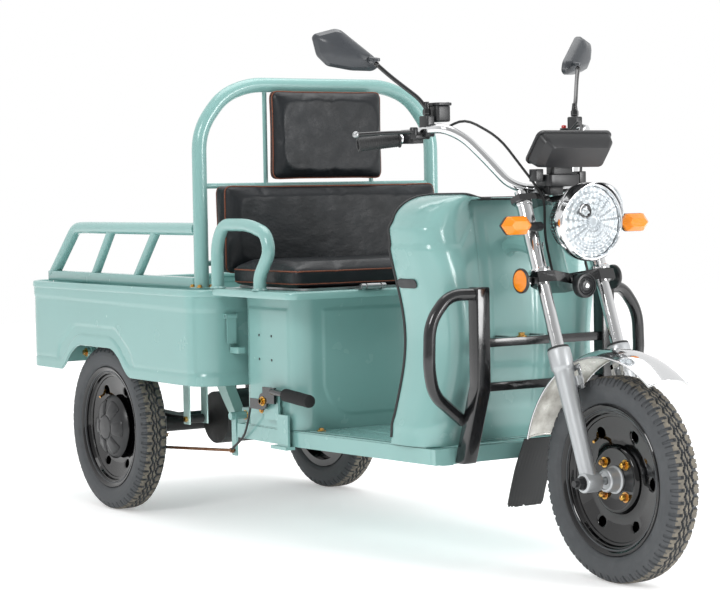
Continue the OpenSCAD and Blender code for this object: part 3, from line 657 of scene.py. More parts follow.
def wheel_arc(profile, centre, low, high, n=90):
    """A closed (radius, y) outline swept in the wheel's plane from one angle to the other, in degrees."""
    a = np.radians(np.linspace(low, high, n))[:, None]
    q = np.asarray(profile, float)
    r, y = q[None, :, 0], np.broadcast_to(q[None, :, 1], (n, len(q)))
    p = np.stack([centre[0] + r * np.cos(a), centre[1] + y, centre[2] + r * np.sin(a)], -1)
    return grid(p, loop_v=True, caps=True)


def turned(profile, centre, side, sides=96):
    """A closed (radius, outward) outline turned about the wheel's axle; side is the way outward points."""
    return lathe(profile, centre, (0, side, 0), sides)


def in_fork(shell):
    """A shell given in the fork's own frame."""
    x, y, z = shell.points.T
    c, s = math.cos(RAKE), math.sin(RAKE)
    return Shell(np.stack([FRONT[0] + x * c - z * s, y, FRONT[2] + x * s + z * c], 1), shell.faces)


def nut(at, axis, across=10.0, height=7.0, washer=8.5, dome=0.0):
    """A hexagon nut on a round washer; a dome turns it into an acorn nut."""
    hexagon = lathe([(0, 1.5), (across / 2, 1.5), (across / 2, height - 0.6), (across / 2 - 0.9, height), (0, height)],
                    at, axis, 6)
    ring = lathe([(0, 0), (washer, 0), (washer, 1.2), (washer - 0.4, 1.6), (0, 1.6)], at, axis, 28)
    shell = hexagon + ring
    if dome:
        a = np.linspace(0, np.pi / 2, 7)
        cap = [(0, height - 1)] + list(zip(across * 0.44 * np.cos(a), height - 0.2 + dome * np.sin(a)))
        shell = shell + lathe(cap, at, axis, 24)
    return shell


# --- wheels --------------------------------------------------------------------------


def tyre_section(n):
    """(radius, across) points of the tyre from one bead over the crown to the other."""
    half = [(167.6, 28.5), (171, 33), (182, 38.6), (194, 40), (205, 39), (214, 36), (221.5, 31.5), (225.6, 27),
            (227.4, 20), (228, 12), (228, 0)]
    whole = np.array([(r, -y) for r, y in half] + [(r, y) for r, y in half[::-1][1:]])
    path = even(smooth_path(whole, 300), n)
    path[:, 0] *= TYRE_R / path[:, 0].max()
    return path


def saw(t):
    """A triangle wave from -1 to 1 with period one."""
    return 4 * np.abs(t - np.floor(t + 0.5)) - 1


def tread_mask(t, y, r):
    """1 in the grooves, 0 on the blocks: two zigzags, a fine centre one and slots across the shoulders."""
    lines = [(9.5 + 3.2 * saw(t), 2.0), (-9.5 + 3.2 * saw(t + 0.5), 2.0), (2.2 * saw(t + 0.25), 1.1)]
    cut = np.zeros_like(y + t)
    for middle, half in lines:
        cut = np.maximum(cut, 1 - step(np.abs(y - middle) - half, 1.3))
    side = np.where(y > 0, t, t + 0.5)
    slot = 1 - step(np.abs(side - np.floor(side) - 0.5) - 0.13, 0.06)
    reach = step(np.abs(y) - 14.5, 1.5) * step(r - 210, 5)
    notch = (1 - step(np.abs(side - np.floor(side) - 0.06) - 0.05, 0.04)) * step(np.abs(y) - 24, 2) * step(r - 214, 4)
    return np.maximum(cut, np.maximum(slot * reach, 0.6 * notch))


class TRICYCLE_OT_tyres(bpy.types.Operator):
    """Moulds the three treaded tyres"""

    bl_idname = "tricycle.tyres"
    bl_label = "Tyres"

    def execute(self, context):
        """One heightfield round the wheel: radius minus groove depth, plus rings on the side walls."""
        section = tyre_section(76)
        n = 1144
        a = np.linspace(0, 2 * np.pi, n, endpoint=False)[:, None]
        r, y = section[:, 0][None], section[:, 1][None]
        t = a * options().tread_pitches / (2 * np.pi)
        cut = tread_mask(t, y, r)
        crown = step(r - 211, 6)
        rings = 0.9 * np.exp(-((r - 178) / 1.6) ** 2) + 0.5 * np.exp(-((r - 199) / 1.2) ** 2)
        height = r - crown * cut * options().tread_depth / MM + 0 * a
        wide = y * (1 + rings / 40) + 0 * a
        top = (crown * (1 - cut) > 0.6) & (r > 224.5)
        inner = np.array([(152.5, 28.0), (152.5, -28.0)])
        height = np.concatenate([height, np.broadcast_to(inner[:, 0], (n, 2))], 1)
        wide = np.concatenate([wide, np.broadcast_to(inner[:, 1], (n, 2))], 1)
        worn = np.concatenate([top, np.zeros((n, 2), bool)], 1)
        faces_worn = worn & np.roll(worn, -1, 0) & np.roll(worn, -1, 1) & np.roll(np.roll(worn, -1, 0), -1, 1)
        for name, centre, body, cad in (
            ("tyre_front", FRONT, "front_wheel", "front_tyre"),
            ("tyre_rear_left", REAR, "rear_wheel_left", "rear_tyre_left"),
            ("tyre_rear_right", REAR * (1, -1, 1), "rear_wheel_right", "rear_tyre_right"),
        ):
            p = np.stack([centre[0] + height * np.cos(a), centre[1] + wide, centre[2] + height * np.sin(a)], -1)
            obj = piece(name, grid(p, loop_u=True, loop_v=True), "tyre", body, (cad,), sharp=50)
            two_tone(obj, "tread", faces_worn.reshape(-1))
        return {"FINISHED"}


def rim_dish(centre, side, holes=6):
    """The pressed disc in equal sectors, each skinned from the rim of its oval hole to its own border."""
    t = np.linspace(0, 2 * np.pi, 72, endpoint=False)
    wide = np.pi / holes
    c, s = np.cos(t), np.sin(t)
    stretch = 1 / np.maximum(np.abs(c), np.abs(s))
    s_low, s_high = 76.0, 140.0
    mid, half = (s_low + s_high) / 2, (s_high - s_low) / 2
    border = np.stack([wide * c * stretch, mid + half * s * stretch], 1)
    oval = np.stack([0.105 * c, 114 + 11.5 * s], 1)
    k = np.array([0, 0.04, 0.12, 0.3, 0.55, 0.8, 1.0])[:, None, None]
    front = oval[None] * (1 - k) + border[None] * k
    lift = np.array([-1.6, -0.3, 0, 0, 0, 0, 0])[:, None]
    shells = []
    for turn in range(holes):
        layers = []
        for depth, order in ((0.0, slice(None, None, -1)), (2.6, slice(None))):
            angle, radius = front[order, :, 0] + 2 * turn * wide, front[order, :, 1]
            out = dish_height(radius) + lift[order] - depth
            layers.append(np.stack([centre[0] + radius * np.cos(angle), centre[1] + side * out,
                                    centre[2] + radius * np.sin(angle)], -1))
        shells.append(grid(np.concatenate(layers), loop_u=True, loop_v=True))
    return joined(shells)


def dish_height(r):
    """How far the disc stands out at radius r: a shallow cone."""
    return np.interp(r, [76, 84, 100, 140], [5.5, 3.6, 4.2, 11.0])


class TRICYCLE_OT_rims(bpy.types.Operator):
    """Presses the three rims and adds hubs, nuts, valves and hub caps"""

    bl_idname = "tricycle.rims"
    bl_label = "Rims"

    def execute(self, context):
        """Barrel and hub are turned outlines, the disc has oval holes."""
        barrel = [(147, -33), (165.5, -33), (167, -31.8), (166, -29.6), (156, -28.6), (151, -24), (150, 0), (151, 24),
                  (156, 28.6), (166, 29.6), (167, 31.8), (165.5, 33), (162, 32.6), (157, 29), (155.6, 24), (153, 22),
                  (148, 21), (146.4, 17.5), (145, 14.5), (140, 13), (138.6, 11), (138.6, 8.4), (147, 6), (146, 0),
                  (147, -24)]
        bowl = [(78, 5.6), (76.5, 8), (74, 15), (71, 17.2), (66, 17.4), (62, 15.4), (34, 14.4), (20, 14.4), (20, 9),
                (62, 9), (70, 9), (73, 2.6), (78, 2.6)]
        for name, centre, side, body, cad, driven in (
            ("rim_front", FRONT, -1, "front_wheel", "front_rim", False),
            ("rim_rear_left", REAR, 1, "rear_wheel_left", "rear_rim_left", True),
            ("rim_rear_right", REAR * (1, -1, 1), -1, "rear_wheel_right", "rear_rim_right", True),
        ):
            shell = turned(barrel, centre, side) + rim_dish(centre, side) + turned(bowl, centre, side)
            back = turned([(17, -46), (29, -46), (30, -45), (30, 9), (17, 9)], centre, side, 48)
            # The wide dark disc behind the dish stands for the brake drum, and is partly painted shade: out towards the
            # barrel it fills the wheel's inside so that the oval holes show dark.
            back = back + turned([(28, -11), (145, -11), (145, -8.5), (28, -8.5)], centre, side)
            piece(name, shell + back, "enamel", body, (cad,))
            nuts = []
            for k in range(4):
                a = math.pi / 4 + k * math.pi / 2
                at = centre + (50 * math.cos(a), side * 15, 50 * math.sin(a))
                nuts.append(nut(at, (0, side, 0), 17, 9, 12, 7))
            valve = centre + (120 * math.cos(2.2), side * 4, 120 * math.sin(2.2))
            stem = tube([valve, valve + (10, side * 10, -12), valve + (14, side * 24, -18)], 3.2, 14)
            piece(name + "_nuts", joined(nuts) + stem, "gold", body)
            if driven:
                self.hub_cap(name, centre, side, body)
            else:
                hub = [(9.2, 12), (31, 14), (31, 18), (27, 20), (25.6, 24), (25.6, 41), (24.6, 43.6), (22, 45.5),
                       (20, 45.5), (19, 43), (9.2, 42)]
                piece(name + "_hub", turned(hub, centre, side, 64), "alloy", body)
        return {"FINISHED"}

    def hub_cap(self, name, centre, side, body):
        """A low dome with a round middle and six raised panels round it."""
        dome = [(0, 44.5), (20, 44.2), (26, 43.2), (27.4, 40.4), (30, 39.4), (40, 37.6), (56, 31.5), (66, 25), (72, 18),
                (74, 14.8), (70, 13.4), (30, 13.4), (0, 13.4)]
        grow = 1.19
        shell = turned([(r * grow, out) for r, out in dome], centre, side, 72)
        for k in range(6):
            a = np.linspace(-0.4, 0.4, 9)[:, None] + k * np.pi / 3
            r = np.array([31, 32, 34, 50, 58, 61, 62.5])[None, :]
            lift = np.array([-1.5, 0.9, 1.6, 1.6, 1.6, 0.9, -1.5])[None, :]
            edge = np.clip((0.4 - np.abs(np.linspace(-0.4, 0.4, 9)))[:, None] / 0.1, 0, 1)
            base = np.interp(r, [26, 40, 56, 66], [39.6, 37.6, 31.5, 25])
            out = base + np.minimum(lift, 1.6 * edge * 2 - 1.5)
            narrow = 1 - 0.25 * (r - 31) / 31
            ang = (a - k * np.pi / 3) * narrow + k * np.pi / 3
            p = np.stack([centre[0] + grow * r * np.cos(ang), centre[1] + side * out,
                          centre[2] + grow * r * np.sin(ang)], -1)
            shell = shell + thick(p, 3.0 * side)
        piece(name + "_cap", shell, "plastic", body)


# --- front end -----------------------------------------------------------------------


class TRICYCLE_OT_fork(bpy.types.Operator):
    """Makes the fork sliders, the axle ends and the seals"""

    bl_idname = "tricycle.fork"
    bl_label = "Fork"

    def execute(self, context):
        """Turned sliders along the raked tubes, with a boss round the axle."""
        legs = []
        seals = []
        for y in (-85.0, 85.0):
            at = np.array([FRONT[0], y, FRONT[2]])
            body = [(0, -14), (12, -14), (17, -8), (18.5, 6), (19, 30), (20, 150), (21.6, 236), (22, 250), (23, 256),
                    (25.4, 259), (26, 263), (26, 298), (25.4, 302), (23, 305), (15.2, 305), (15.2, 296), (0, 296)]
            legs.append(lathe(body, at, FORK_UP, 56))
            boss = [(0, -21), (19, -21), (21.4, -19.5), (22, -17), (22, 17), (21.4, 19.5), (19, 21), (0, 21)]
            legs.append(lathe(boss, at, (0, 1, 0), 48))
            seals.append(lathe([(15.2, 299), (24.4, 299), (24.4, 306.5), (23, 308.5), (16.4, 309.5), (15.2, 309)], at,
                               FORK_UP, 48))
            side = np.sign(y)
            lug = box((-16, -6, 214), (24, 6, 236), 2, 3) + box((-16, -6, 246), (8, 6, 258), 2, 3)
            lug.points = lug.points + (0, side * 66, 0)
            legs.append(in_fork(lug))
        piece("fork_slider_castings", joined(legs), "alloy", "fork_lower", ("fork_sliders",))
        piece("fork_seals", joined(seals), "rubber", "fork_lower")
        dress("fork_stanchions", "chrome")
        rings = []
        for y in (-85.0, 85.0):
            at = np.array([FRONT[0], y, FRONT[2]])
            for low in (481.0, 641.0):
                wide = 24.0 if low < 500 else 19.8
                rings.append(lathe([(15.2, low), (wide - 0.6, low), (wide, low + 1.5), (wide, low + 8),
                                    (wide - 1, low + 10), (15.2, low + 10)], at, FORK_UP, 48))
        piece("fork_cover_rings", joined(rings), "chrome", "steering")
        ends = []
        for side in (-1, 1):
            at = FRONT + (0, side * 106, 0)
            ends.append(nut(at, (0, side, 0), 27, 15, 16))
            ends.append(rod(FRONT + (0, side * 104, 0), FRONT + (0, side * 130, 0), 7.6, 24))
        piece("axle_ends", joined(ends), "plastic", "fork_lower")
        piece("axle_bar", rod(FRONT + (0, -104, 0), FRONT + (0, 104, 0), 8, 32), "zinc", "fork_lower", ("front_axle",))
        return {"FINISHED"}


class TRICYCLE_OT_mudguard(bpy.types.Operator):
    """Presses the front mudguard, its brackets and the flap"""

    bl_idname = "tricycle.mudguard"
    bl_label = "Mudguard"

    def execute(self, context):
        """Crowned strip over the wheel: radius 288 - 16 (y / 55)^2, edges rolled round a wire."""
        y = np.linspace(-54, 54, 31)
        r = 288 - 16 * (y / 55) ** 2
        crown = np.concatenate([np.stack([r, y], 1), np.stack([r - 1.8, y], 1)[::-1]])
        shell = wheel_arc(crown, FRONT, 52.6, 165, 110)
        a = np.radians(np.linspace(52.6, 165, 110))
        for side in (-54.2, 54.2):
            edge = np.stack([FRONT[0] + 271.4 * np.cos(a), np.full(110, side), FRONT[2] + 271.4 * np.sin(a)], 1)
            shell = shell + tube(edge, 2.6, 10)
        for end in (53.2, 164.4):
            q = np.stack([288 - 16 * (y / 55) ** 2 - 1.2, y], 1)
            c, s = math.cos(math.radians(end)), math.sin(math.radians(end))
            shell = shell + tube(np.stack([FRONT[0] + q[:, 0] * c, q[:, 1], FRONT[2] + q[:, 0] * s], 1), 2.4, 10)
        for side in (-1, 1):
            bracket = (box((-14, -1.6, 206), (30, 1.6, 216), 0.7, 2) + box((-14, -1.6, 250), (30, 1.6, 262), 0.7, 2)
                       + box((-14, -1.6, 206), (-2, 1.6, 262), 0.7, 2) + box((18, -1.6, 206), (30, 1.6, 262), 0.7, 2))
            bracket.points = bracket.points + (0, side * 60, 0)
            shell = shell + in_fork(bracket)
        guard = piece("mudguard", shell, "chrome", "fork_lower", ("front_mudguard",), sharp=45)
        middle = np.empty(len(guard.data.polygons) * 3)
        guard.data.polygons.foreach_get("center", middle)
        x, across, z = middle.reshape(-1, 3).T / MM
        beyond = np.hypot(x - FRONT[0], z - FRONT[2]) - (288 - 16 * (across / 55) ** 2)
        two_tone(guard, "dull_chrome", (beyond < -0.9) & (beyond > -4) & (np.abs(across) < 53))
        screws = []
        for side in (-1, 1):
            for x, z in ((-8, 211), (24, 211), (-8, 256), (24, 256)):
                screws.append(nut(fork_point(x, side * 61.6, z), (0, side, 0), 8, 5, 6))
        piece("mudguard_screws", joined(screws), "zinc", "fork_lower")
        self.flap()
        return {"FINISHED"}

    def flap(self):
        """Rubber sheet hung from the guard's tail, pleated once and cut in points along the bottom."""
        line = even(smooth_path([(708, 0, 297), (690, 0, 262), (671, 0, 224), (653, 0, 176), (638, 0, 131)], 40), 40)
        across = np.linspace(-51, 51, 137)
        teeth = 8.0 * (0.5 + 0.5 * saw(across / 9.27))
        u = np.linspace(0, 1, len(line))[:, None]
        bow = 3.0 * np.sin(np.pi * u) * np.cos(np.pi * across / 102)[None]
        p = np.empty((len(line), len(across), 3))
        p[..., 0] = line[:, :1] + bow * 0.6 + 0.38 * u * teeth[None]
        p[..., 1] = across
        p[..., 2] = line[:, 2:] + u * teeth[None]
        piece("mud_flap_sheet", thick(p, 3.5), "rubber", "fork_lower", ("mud_flap",))


class TRICYCLE_OT_headlight(bpy.types.Operator):
    """Turns the headlight bucket, its bright ring and the glass"""

    bl_idname = "tricycle.headlight"
    bl_label = "Headlight"

    def execute(self, context):
        """Outlines turned about the lamp's axis, with a peak over the top half."""
        low, high = span("headlight_shell")
        z = (low[2] + high[2]) / 2
        at, axis = (0, 0, z), (1, 0, 0)
        bucket = [(0, 802), (30, 801), (44, 803), (50, 810), (60, 832), (72, 854), (80, 872), (81, 884), (76, 884),
                  (66, 856), (46, 818), (0, 810)]
        vents = []
        for k in range(14):
            a = -0.75 + k * 0.115
            c, s = math.cos(a), math.sin(a)
            along, normal = (0.9, -c * 0.42, s * 0.42), (0.42, -c * 0.9, s * 0.9)
            slot = slab(rounded(15, 3.4, 1.6, 3), 2.2, 0.6)
            vents.append(slot.placed((842, -c * 67.5, z + s * 67.5), along, np.cross(normal, along)))
        stalk = box((786, -22, z - 20), (803, 22, z + 20), 2, 6)
        piece("headlight_bucket", lathe(bucket, at, axis, 96), "chrome", "steering", ("headlight_shell",))
        piece("headlight_vents", joined(vents) + stalk, "plastic", "steering")
        ring = [(80.5, 874), (84.5, 873), (87, 876), (88, 884), (88, 894), (86.8, 900), (84, 904), (81, 904.5),
                (79.4, 902), (79.4, 886), (80.5, 884)]
        a = np.linspace(0.12, np.pi - 0.12, 60)[:, None]
        u = np.linspace(0, 1, 9)[None]
        reach = 34 * np.sin(a) ** 0.7 * u
        r = 86.5 + 1.5 * u
        peak = np.stack([894 + reach, r * np.cos(a), z + r * np.sin(a) - 0.06 * reach], -1)
        piece("headlight_ring", lathe(ring, at, axis, 128) + thick(peak, 1.6), "chrome", "steering")
        r = np.linspace(78.6, 1.0, 90)[:, None]
        a = np.linspace(0, 2 * np.pi, 324, endpoint=False)[None]
        blocks = 1.3 * step(r - 12, 4) * (np.cos(2 * np.pi * r / 12.5) + np.cos(18 * a))
        dome = 895.5 + 9.0 * (1 - (r / 79) ** 2) + blocks * step(78 - r, 4)
        face = np.stack([dome, r * np.cos(a), z + r * np.sin(a)], -1)
        back = np.stack([889 + 0 * a, 78.6 * np.cos(a), z + 78.6 * np.sin(a)], -1)
        glass = grid(np.concatenate([back, face]), loop_v=True, caps=True)
        piece("headlight_glass", glass, "optic", "steering", ("headlight_lens",), sharp=60)
        eye = lathe([(0, 896), (13, 896), (15, 900), (16.4, 905.6), (13.5, 906), (9, 902), (0, 901)],
                    (0, -22, z + 24), axis, 48)
        piece("headlight_eye", eye, "smoked", "steering")
        return {"FINISHED"}


class TRICYCLE_OT_signals(bpy.types.Operator):
    """Makes the turn lamps, side reflectors and the horn"""

    bl_idname = "tricycle.signals"
    bl_label = "Signals and horn"

    def execute(self, context):
        """Faceted amber prisms, ribbed round reflectors and a ringed disc."""
        amber, dark = [], []
        z = 788.0
        for side in (-1, 1):
            outline = np.array([(-40, 0), (-24, -20), (24, -20), (40, 0), (24, 20), (-24, 20)], float)
            outer = soft(outline, 2.5, 3, loop=True)
            lens = [(outer * 0.96, 0), (outer, 1), (outer, 8), (outer * (0.66, 0.5), 21), (outer * (0.64, 0.47), 21.6)]
            back = [(outer * 0.5, 0), (outer * 0.84, 5), (outer * 1.02, 17), (outer * 1.03, 20.5)]
            to_front = np.array([[0, side, 0], [0, 0, 1], [1, 0, 0]])
            for levels, x, parts in ((lens, 841, amber), (back, 821, dark)):
                shell = loft(levels)
                parts.append(Shell(shell.points @ to_front + (x, side * 168, z), shell.faces))
            dark.append(tube(smooth_path([(815, side * 80, z - 4), (826, side * 106, z - 4), (834, side * 132, z - 2),
                                          (838, side * 146, z)], 18), [10.5] * 6 + [9.5] * 6 + [10.5] * 6, 20))
            disc_at = (812, side * 127.5, 664)
            amber.append(lathe([(0, 3), (24.5, 3), (24.5, 7.2), (23, 8.8), (16, 9.8), (8, 10.4), (0, 10.6)], disc_at,
                               (0, side, 0), 56))
            dark.append(lathe([(0, 0), (26, 0), (28, 2), (28, 7), (26.4, 8.4), (25, 8.4), (24.6, 3), (0, 3)], disc_at,
                              (0, side, 0), 56))
        # The amber finish has a painted glow, so the turn lenses and the side reflectors, which are no lamps, glow
        # faintly.
        piece("turn_lamp_lenses", joined(amber), "amber", "steering", ("amber_lamps",), sharp=22)
        piece("turn_lamp_shells", joined(dark), "plastic", "steering", ("lamp_brackets",))
        plates = []
        for side in (-1, 1):
            path = [(806, side * 108, 664), (826, side * 112, 664), (826, side * 126, 664)]
            plates.append(ribbon(even(soft(path, 4, 6), 14), rounded(15, 2.2, 1, 3), (0, 0, 1)))
            for top in (688.0, 676.0):
                bent = [(795, side * 60, top + 58), (812, side * 82, top + 8), (806, side * 104, top - 8)]
                plates.append(ribbon(even(soft(bent, 18, 6), 18), rounded(14, 2.2, 1, 3), (1, 0, 0.2)))
        piece("lamp_strips", joined(plates), "chrome", "steering")
        at = (0, 10, 650)
        rings = [(0, 848), (24, 847), (27.4, 850), (28, 856), (28, 864), (26.6, 867.5), (24.6, 868), (23.4, 865.4),
                 (21, 866), (19.4, 868.6), (17.6, 866), (15, 867), (13.2, 869.6), (11.4, 867), (8, 868), (0, 868)]
        horn = lathe(rings, at, (1, 0, 0), 72)
        arm = box((829, 3, 660), (848, 17, 676), 1, 2)
        piece("horn_disc", horn + arm, "plastic", "steering", ("horn",))
        dot = lathe([(0, 867), (6.5, 867), (6.5, 870), (4.5, 872), (0, 872.4)], at, (1, 0, 0), 32)
        piece("horn_dot", dot, "chrome", "steering")
        return {"FINISHED"}


class TRICYCLE_OT_instruments(bpy.types.Operator):
    """Moulds the instrument case with its dark cover and its key switch"""

    bl_idname = "tricycle.instruments"
    bl_label = "Instruments"

    def execute(self, context):
        """A slab tilted towards the driver over a smaller box."""
        tilt = math.radians(51.8)
        ex, ey = np.array([math.cos(tilt), 0, math.sin(tilt)]), np.array([0.0, 1.0, 0.0])
        up = np.cross(ex, ey)
        middle = np.array([790, 0, 928]) + 44.5 * ex
        outline = rounded(89, 210, 15, 8)
        levels = [(outline * (0.6, 0.78), -44), (outline * (0.84, 0.92), -29), (outline * (0.93, 0.97), -9),
                  (outline * (0.93, 0.97), -7.6), (outline, -7), (outline, -1.8), (outline * (0.985, 0.993), -0.4),
                  (outline * (0.94, 0.975), 0)]
        case = loft(levels).placed(middle, ex, ey)
        lower = box((750, -46, 872), (806, 46, 900), 3, 12) + box((752, -20, 854), (775, 20, 874), 1, 3)
        lower = lower + box((773, -30, 898), (800, 30, 926), 3, 6)
        lower = lower + box((768, -74, 884), (794, -50, 912), 2, 4) + box((768, 50, 880), (794, 72, 906), 2, 4)
        piece("instrument_shell", case + lower, "plastic", "steering", ("instrument_case",), sharp=28)
        window = slab(rounded(58, 168, 20, 8), 1.4, 0.6).placed(middle + up * -0.5, ex, ey)
        piece("instrument_window", window, "smoked", "steering")
        key_low, key_high = span("key_switch")
        at = (key_low + key_high) / 2
        head = lathe([(4, -6), (8.6, -6), (9, -5), (9, 4.6), (8.2, 6), (4, 6)], at, (0, 0, 1), 40)
        bow = slab(rounded(13, 3, 1.2, 4), 7.4, 0.6).placed(at + (0, 0, -2), (1, 0, 0), (0, 1, 0))
        piece("key_barrel", head + bow, "zinc", "key", ("key_switch",))
        return {"FINISHED"}


BAR = [(735, 0, 868), (735, 60, 868), (716, 92, 882), (684, 124, 932), (655, 168, 986), (630, 206, 1008),
       (590, 217, 1008), (540, 222, 999), (505, 228, 987)]
GRIP_IN, GRIP_OUT = np.array([505.0, 228, 987]), np.array([469.0, 332, 975])


class TRICYCLE_OT_handlebar(bpy.types.Operator):
    """Bends the handlebar and fits grips, housings, levers and cables"""

    bl_idname = "tricycle.handlebar"
    bl_label = "Handlebar"

    def execute(self, context):
        """A tube along the bar's centre line, turned grips with ribs, and moulded housings."""
        right = np.array(BAR[::-1], float) * (1, -1, 1)
        path = np.vstack([[GRIP_OUT * (1, -1, 1)], right, np.array(BAR[1:], float), [GRIP_OUT]])
        bar = tube(even(soft(path, 30, 8), 150), 11, 28)
        risers = joined([box((724, y - 9, 847), (746, y + 9, 868), 2, 5) for y in (-34, 34)])
        piece("bar_tube", bar, "chrome", "steering", ("handlebar",))
        piece("bar_risers", risers, "alloy", "steering")
        self.grips()
        self.housings()
        self.levers()
        dress("control_cables", "cable")
        dress("steering_stem", "black")
        return {"FINISHED"}

    def grips(self):
        """Rubber sleeves with rings that swell and sink every 5 mm."""
        for name, side, body, cad in (("grip_left_rubber", 1, "steering", "grip_left"),
                                      ("grip_right_rubber", -1, "throttle", "throttle_grip")):
            a, b = GRIP_IN * (1, side, 1), GRIP_OUT * (1, side, 1)
            axis = unit(b - a)
            along = np.linspace(14, 14 + np.linalg.norm(b - a) - 11, 90)
            swell = 15.2 + 0.7 * np.abs(np.sin(along * np.pi / 5.2))
            swell[:5] = [17.5, 18, 18, 17.6, 15]
            swell[-4:] = [16, 17, 17, 15.6]
            outline = [(11.1, along[0])] + list(zip(swell, along)) + [(11.1, along[-1])]
            piece(name, lathe(outline, a, axis, 40), "rubber", body, (cad,), sharp=60)

    def housings(self):
        """Switch blocks round the bar beside each grip, a fluid cup on the right, mirror sockets."""
        parts = []
        for side in (-1, 1):
            outline = soft(np.array([(496, 205), (498, 238), (546, 243), (551, 206)], float), 9, 5, loop=True)
            block = loft([(outline * (1, side), 976), (outline * (1, side), 1002), (outline * (1, side), 1007.6)])
            parts.append(block)
            parts.append(lathe([(0, 985), (9, 985), (9.5, 986), (9.5, 1009), (8, 1012), (0, 1012)],
                               (566, side * 246, 0), (0, 0, 1), 32))
            parts.append(box((546, min(side * 207, side * 250), 985), (577, max(side * 207, side * 250), 995), 2, 4))
            parts.append(box((557, min(side * 203, side * 227), 990), (591, max(side * 203, side * 227), 1038), 3, 6))
        parts.append(box((542, -200, 1024), (594, -160, 1062), 4, 8))
        parts.append(box((539, -203, 1061), (597, -157, 1068), 2, 9))
        low, high = span("horn_button")
        at = ((low + high) / 2) * (1, 1, 0) + (0, 0, low[2])
        parts.append(lathe([(6.6, -4.2), (9.6, -4.2), (9.6, 0), (8.8, 0.6), (6.6, 0.6)], at, (0, 0, 1), 40))
        piece("switch_housings", joined(parts), "plastic", "steering", ("control_housings",))
        piece("horn_push", lathe([(0, 0), (6, 0), (6, 5.4), (5, 7.2), (3, 8), (0, 8)], at, (0, 0, 1), 32), "signal",
              "button", ("horn_button",))
        screws = [lathe([(0, 1068), (3, 1068), (2.6, 1069.4), (0, 1069.6)], (x, y, 0), (0, 0, 1), 20)
                  for x, y in ((548, -194), (588, -166))]
        piece("cup_screws", joined(screws), "zinc", "steering")

    def levers(self):
        """Flat forged blades that curl to a ball, wide at the pivot."""
        for name, side, body, cad in (("lever_blade_left", 1, "lever_left", "brake_lever_left"),
                                      ("lever_blade_right", -1, "lever_right", "brake_lever_right")):
            path = np.array([(566, 246, 1001), (558, 264, 1001), (546, 290, 1000.5), (528, 328, 999), (509, 364, 997)])
            path = smooth_path(path * (1, side, 1), 40)
            t = np.linspace(0, 1, 40)
            wide = 9 - 4 * np.minimum(t * 1.6, 1)
            ring = np.linspace(0, 2 * np.pi, 20, endpoint=False)
            tangent, across = carried_sides(path, (1, 0, 0))
            up = np.cross(tangent, across)
            p = path[:, None] + wide[:, None, None] * np.cos(ring)[None, :, None] * across[:, None]
            p = p + 4.4 * np.sin(ring)[None, :, None] * up[:, None]
            blade = grid(p, loop_v=True, caps=True)
            a = np.linspace(-np.pi / 2, np.pi / 2, 15)
            ball = lathe(list(zip(7.8 * np.cos(a), 7.8 * np.sin(a))), (508, side * 366, 997), (0, 0, 1), 28)
            lever = piece(name, blade + ball, "black", body, (cad,))
            two_tone(lever, "zinc", np.arange(len(lever.data.polygons)) >= len(blade.faces))


MIRROR_BALL = np.array([490.0, 294, 1158])


def swept_back(shell, side):
    """A mirror's own outward, up and forward distances carried to its ball and turned back by 28 degrees."""
    c, s = math.cos(math.radians(28)), math.sin(math.radians(28))
    y, z, x = shell.points.T
    return Shell(MIRROR_BALL * (1, side, 1) + np.stack([x * c - y * s, side * (x * s + y * c), z], 1), shell.faces)


class TRICYCLE_OT_mirrors(bpy.types.Operator):
    """Moulds the two mirror heads on their bent stems"""

    bl_idname = "tricycle.mirrors"
    bl_label = "Mirrors"

    def execute(self, context):
        """An outline that narrows towards its back, glass set in the face towards the driver."""
        stems = []
        for side in (-1, 1):
            path = np.array([(574, 215, 1038.5), (574, 215, 1054), (562, 228, 1078), (512, 272, 1130), MIRROR_BALL])
            stems.append(tube(even(soft(path * (1, side, 1), 26, 8), 50), 5, 20))
            stems.append(lathe([(0, -7.5), (8, -7.5), (9.5, -5), (9.5, 5), (7, 8), (0, 8)],
                               (574, side * 215, 1046), (0, 0, 1), 6))
            a = np.linspace(-np.pi / 2, np.pi / 2, 13)
            stems.append(lathe(list(zip(6.4 * np.cos(a), 6.4 * np.sin(a))), MIRROR_BALL * (1, side, 1), (0, 0, 1), 24))
            stems.append(lathe([(0, 8), (7.5, 8), (5.6, 24), (0, 24)], (574, side * 215, 1046), (0, 0, 1), 24))
        piece("mirror_stalks", joined(stems), "black", "steering", ("mirror_stems",))
        outline = soft(np.array([(-8, -4), (6, -13), (56, -11), (112, 0), (136, 24), (146, 66), (140, 74), (92, 86),
                                 (78, 82), (0, 18)], float), 7, 4, loop=True)
        centre = np.array([74.0, 34.0])
        for name, side, body, cad in (("mirror_head_left", 1, "mirror_left", "mirror_left"),
                                      ("mirror_head_right", -1, "mirror_right", "mirror_right")):
            sizes = ((-43, 0.94), (-42, 0.985), (-40, 1.0), (-33, 0.99), (-21, 0.84), (-12, 0.56), (-10, 0.4), (-9.5, 0.1))
            shell = loft([((outline - centre) * size + centre, depth) for depth, size in sizes])
            neck = [(0, 7), (7.4, 7), (8, 8), (8, 13.5), (6, 15), (0, 15)]
            neck = lathe(neck, MIRROR_BALL * (1, side, 1), (0, 0, 1), 28)
            arm = tube([(0, 11, 0), (6, 12, -8), (14, 14, -16)], 5.0, 18)
            piece(name, swept_back(shell, side) + swept_back(arm, side) + neck, "graphite", body, (cad,), sharp=24)
            q = (outline - centre) * 0.9 + centre
            glass = loft([(q, 0), (q, 1.6)])
            glass.points = glass.points + (0, 0, -43.8)
            piece(name + "_glass", swept_back(glass, side), "mirror", body)
        return {"FINISHED"}


# --- leg shield and guard ------------------------------------------------------------


SHIELD_LOW = span("leg_shield")[0][2]
SHIELD_TOP = span("leg_shield")[1][2]


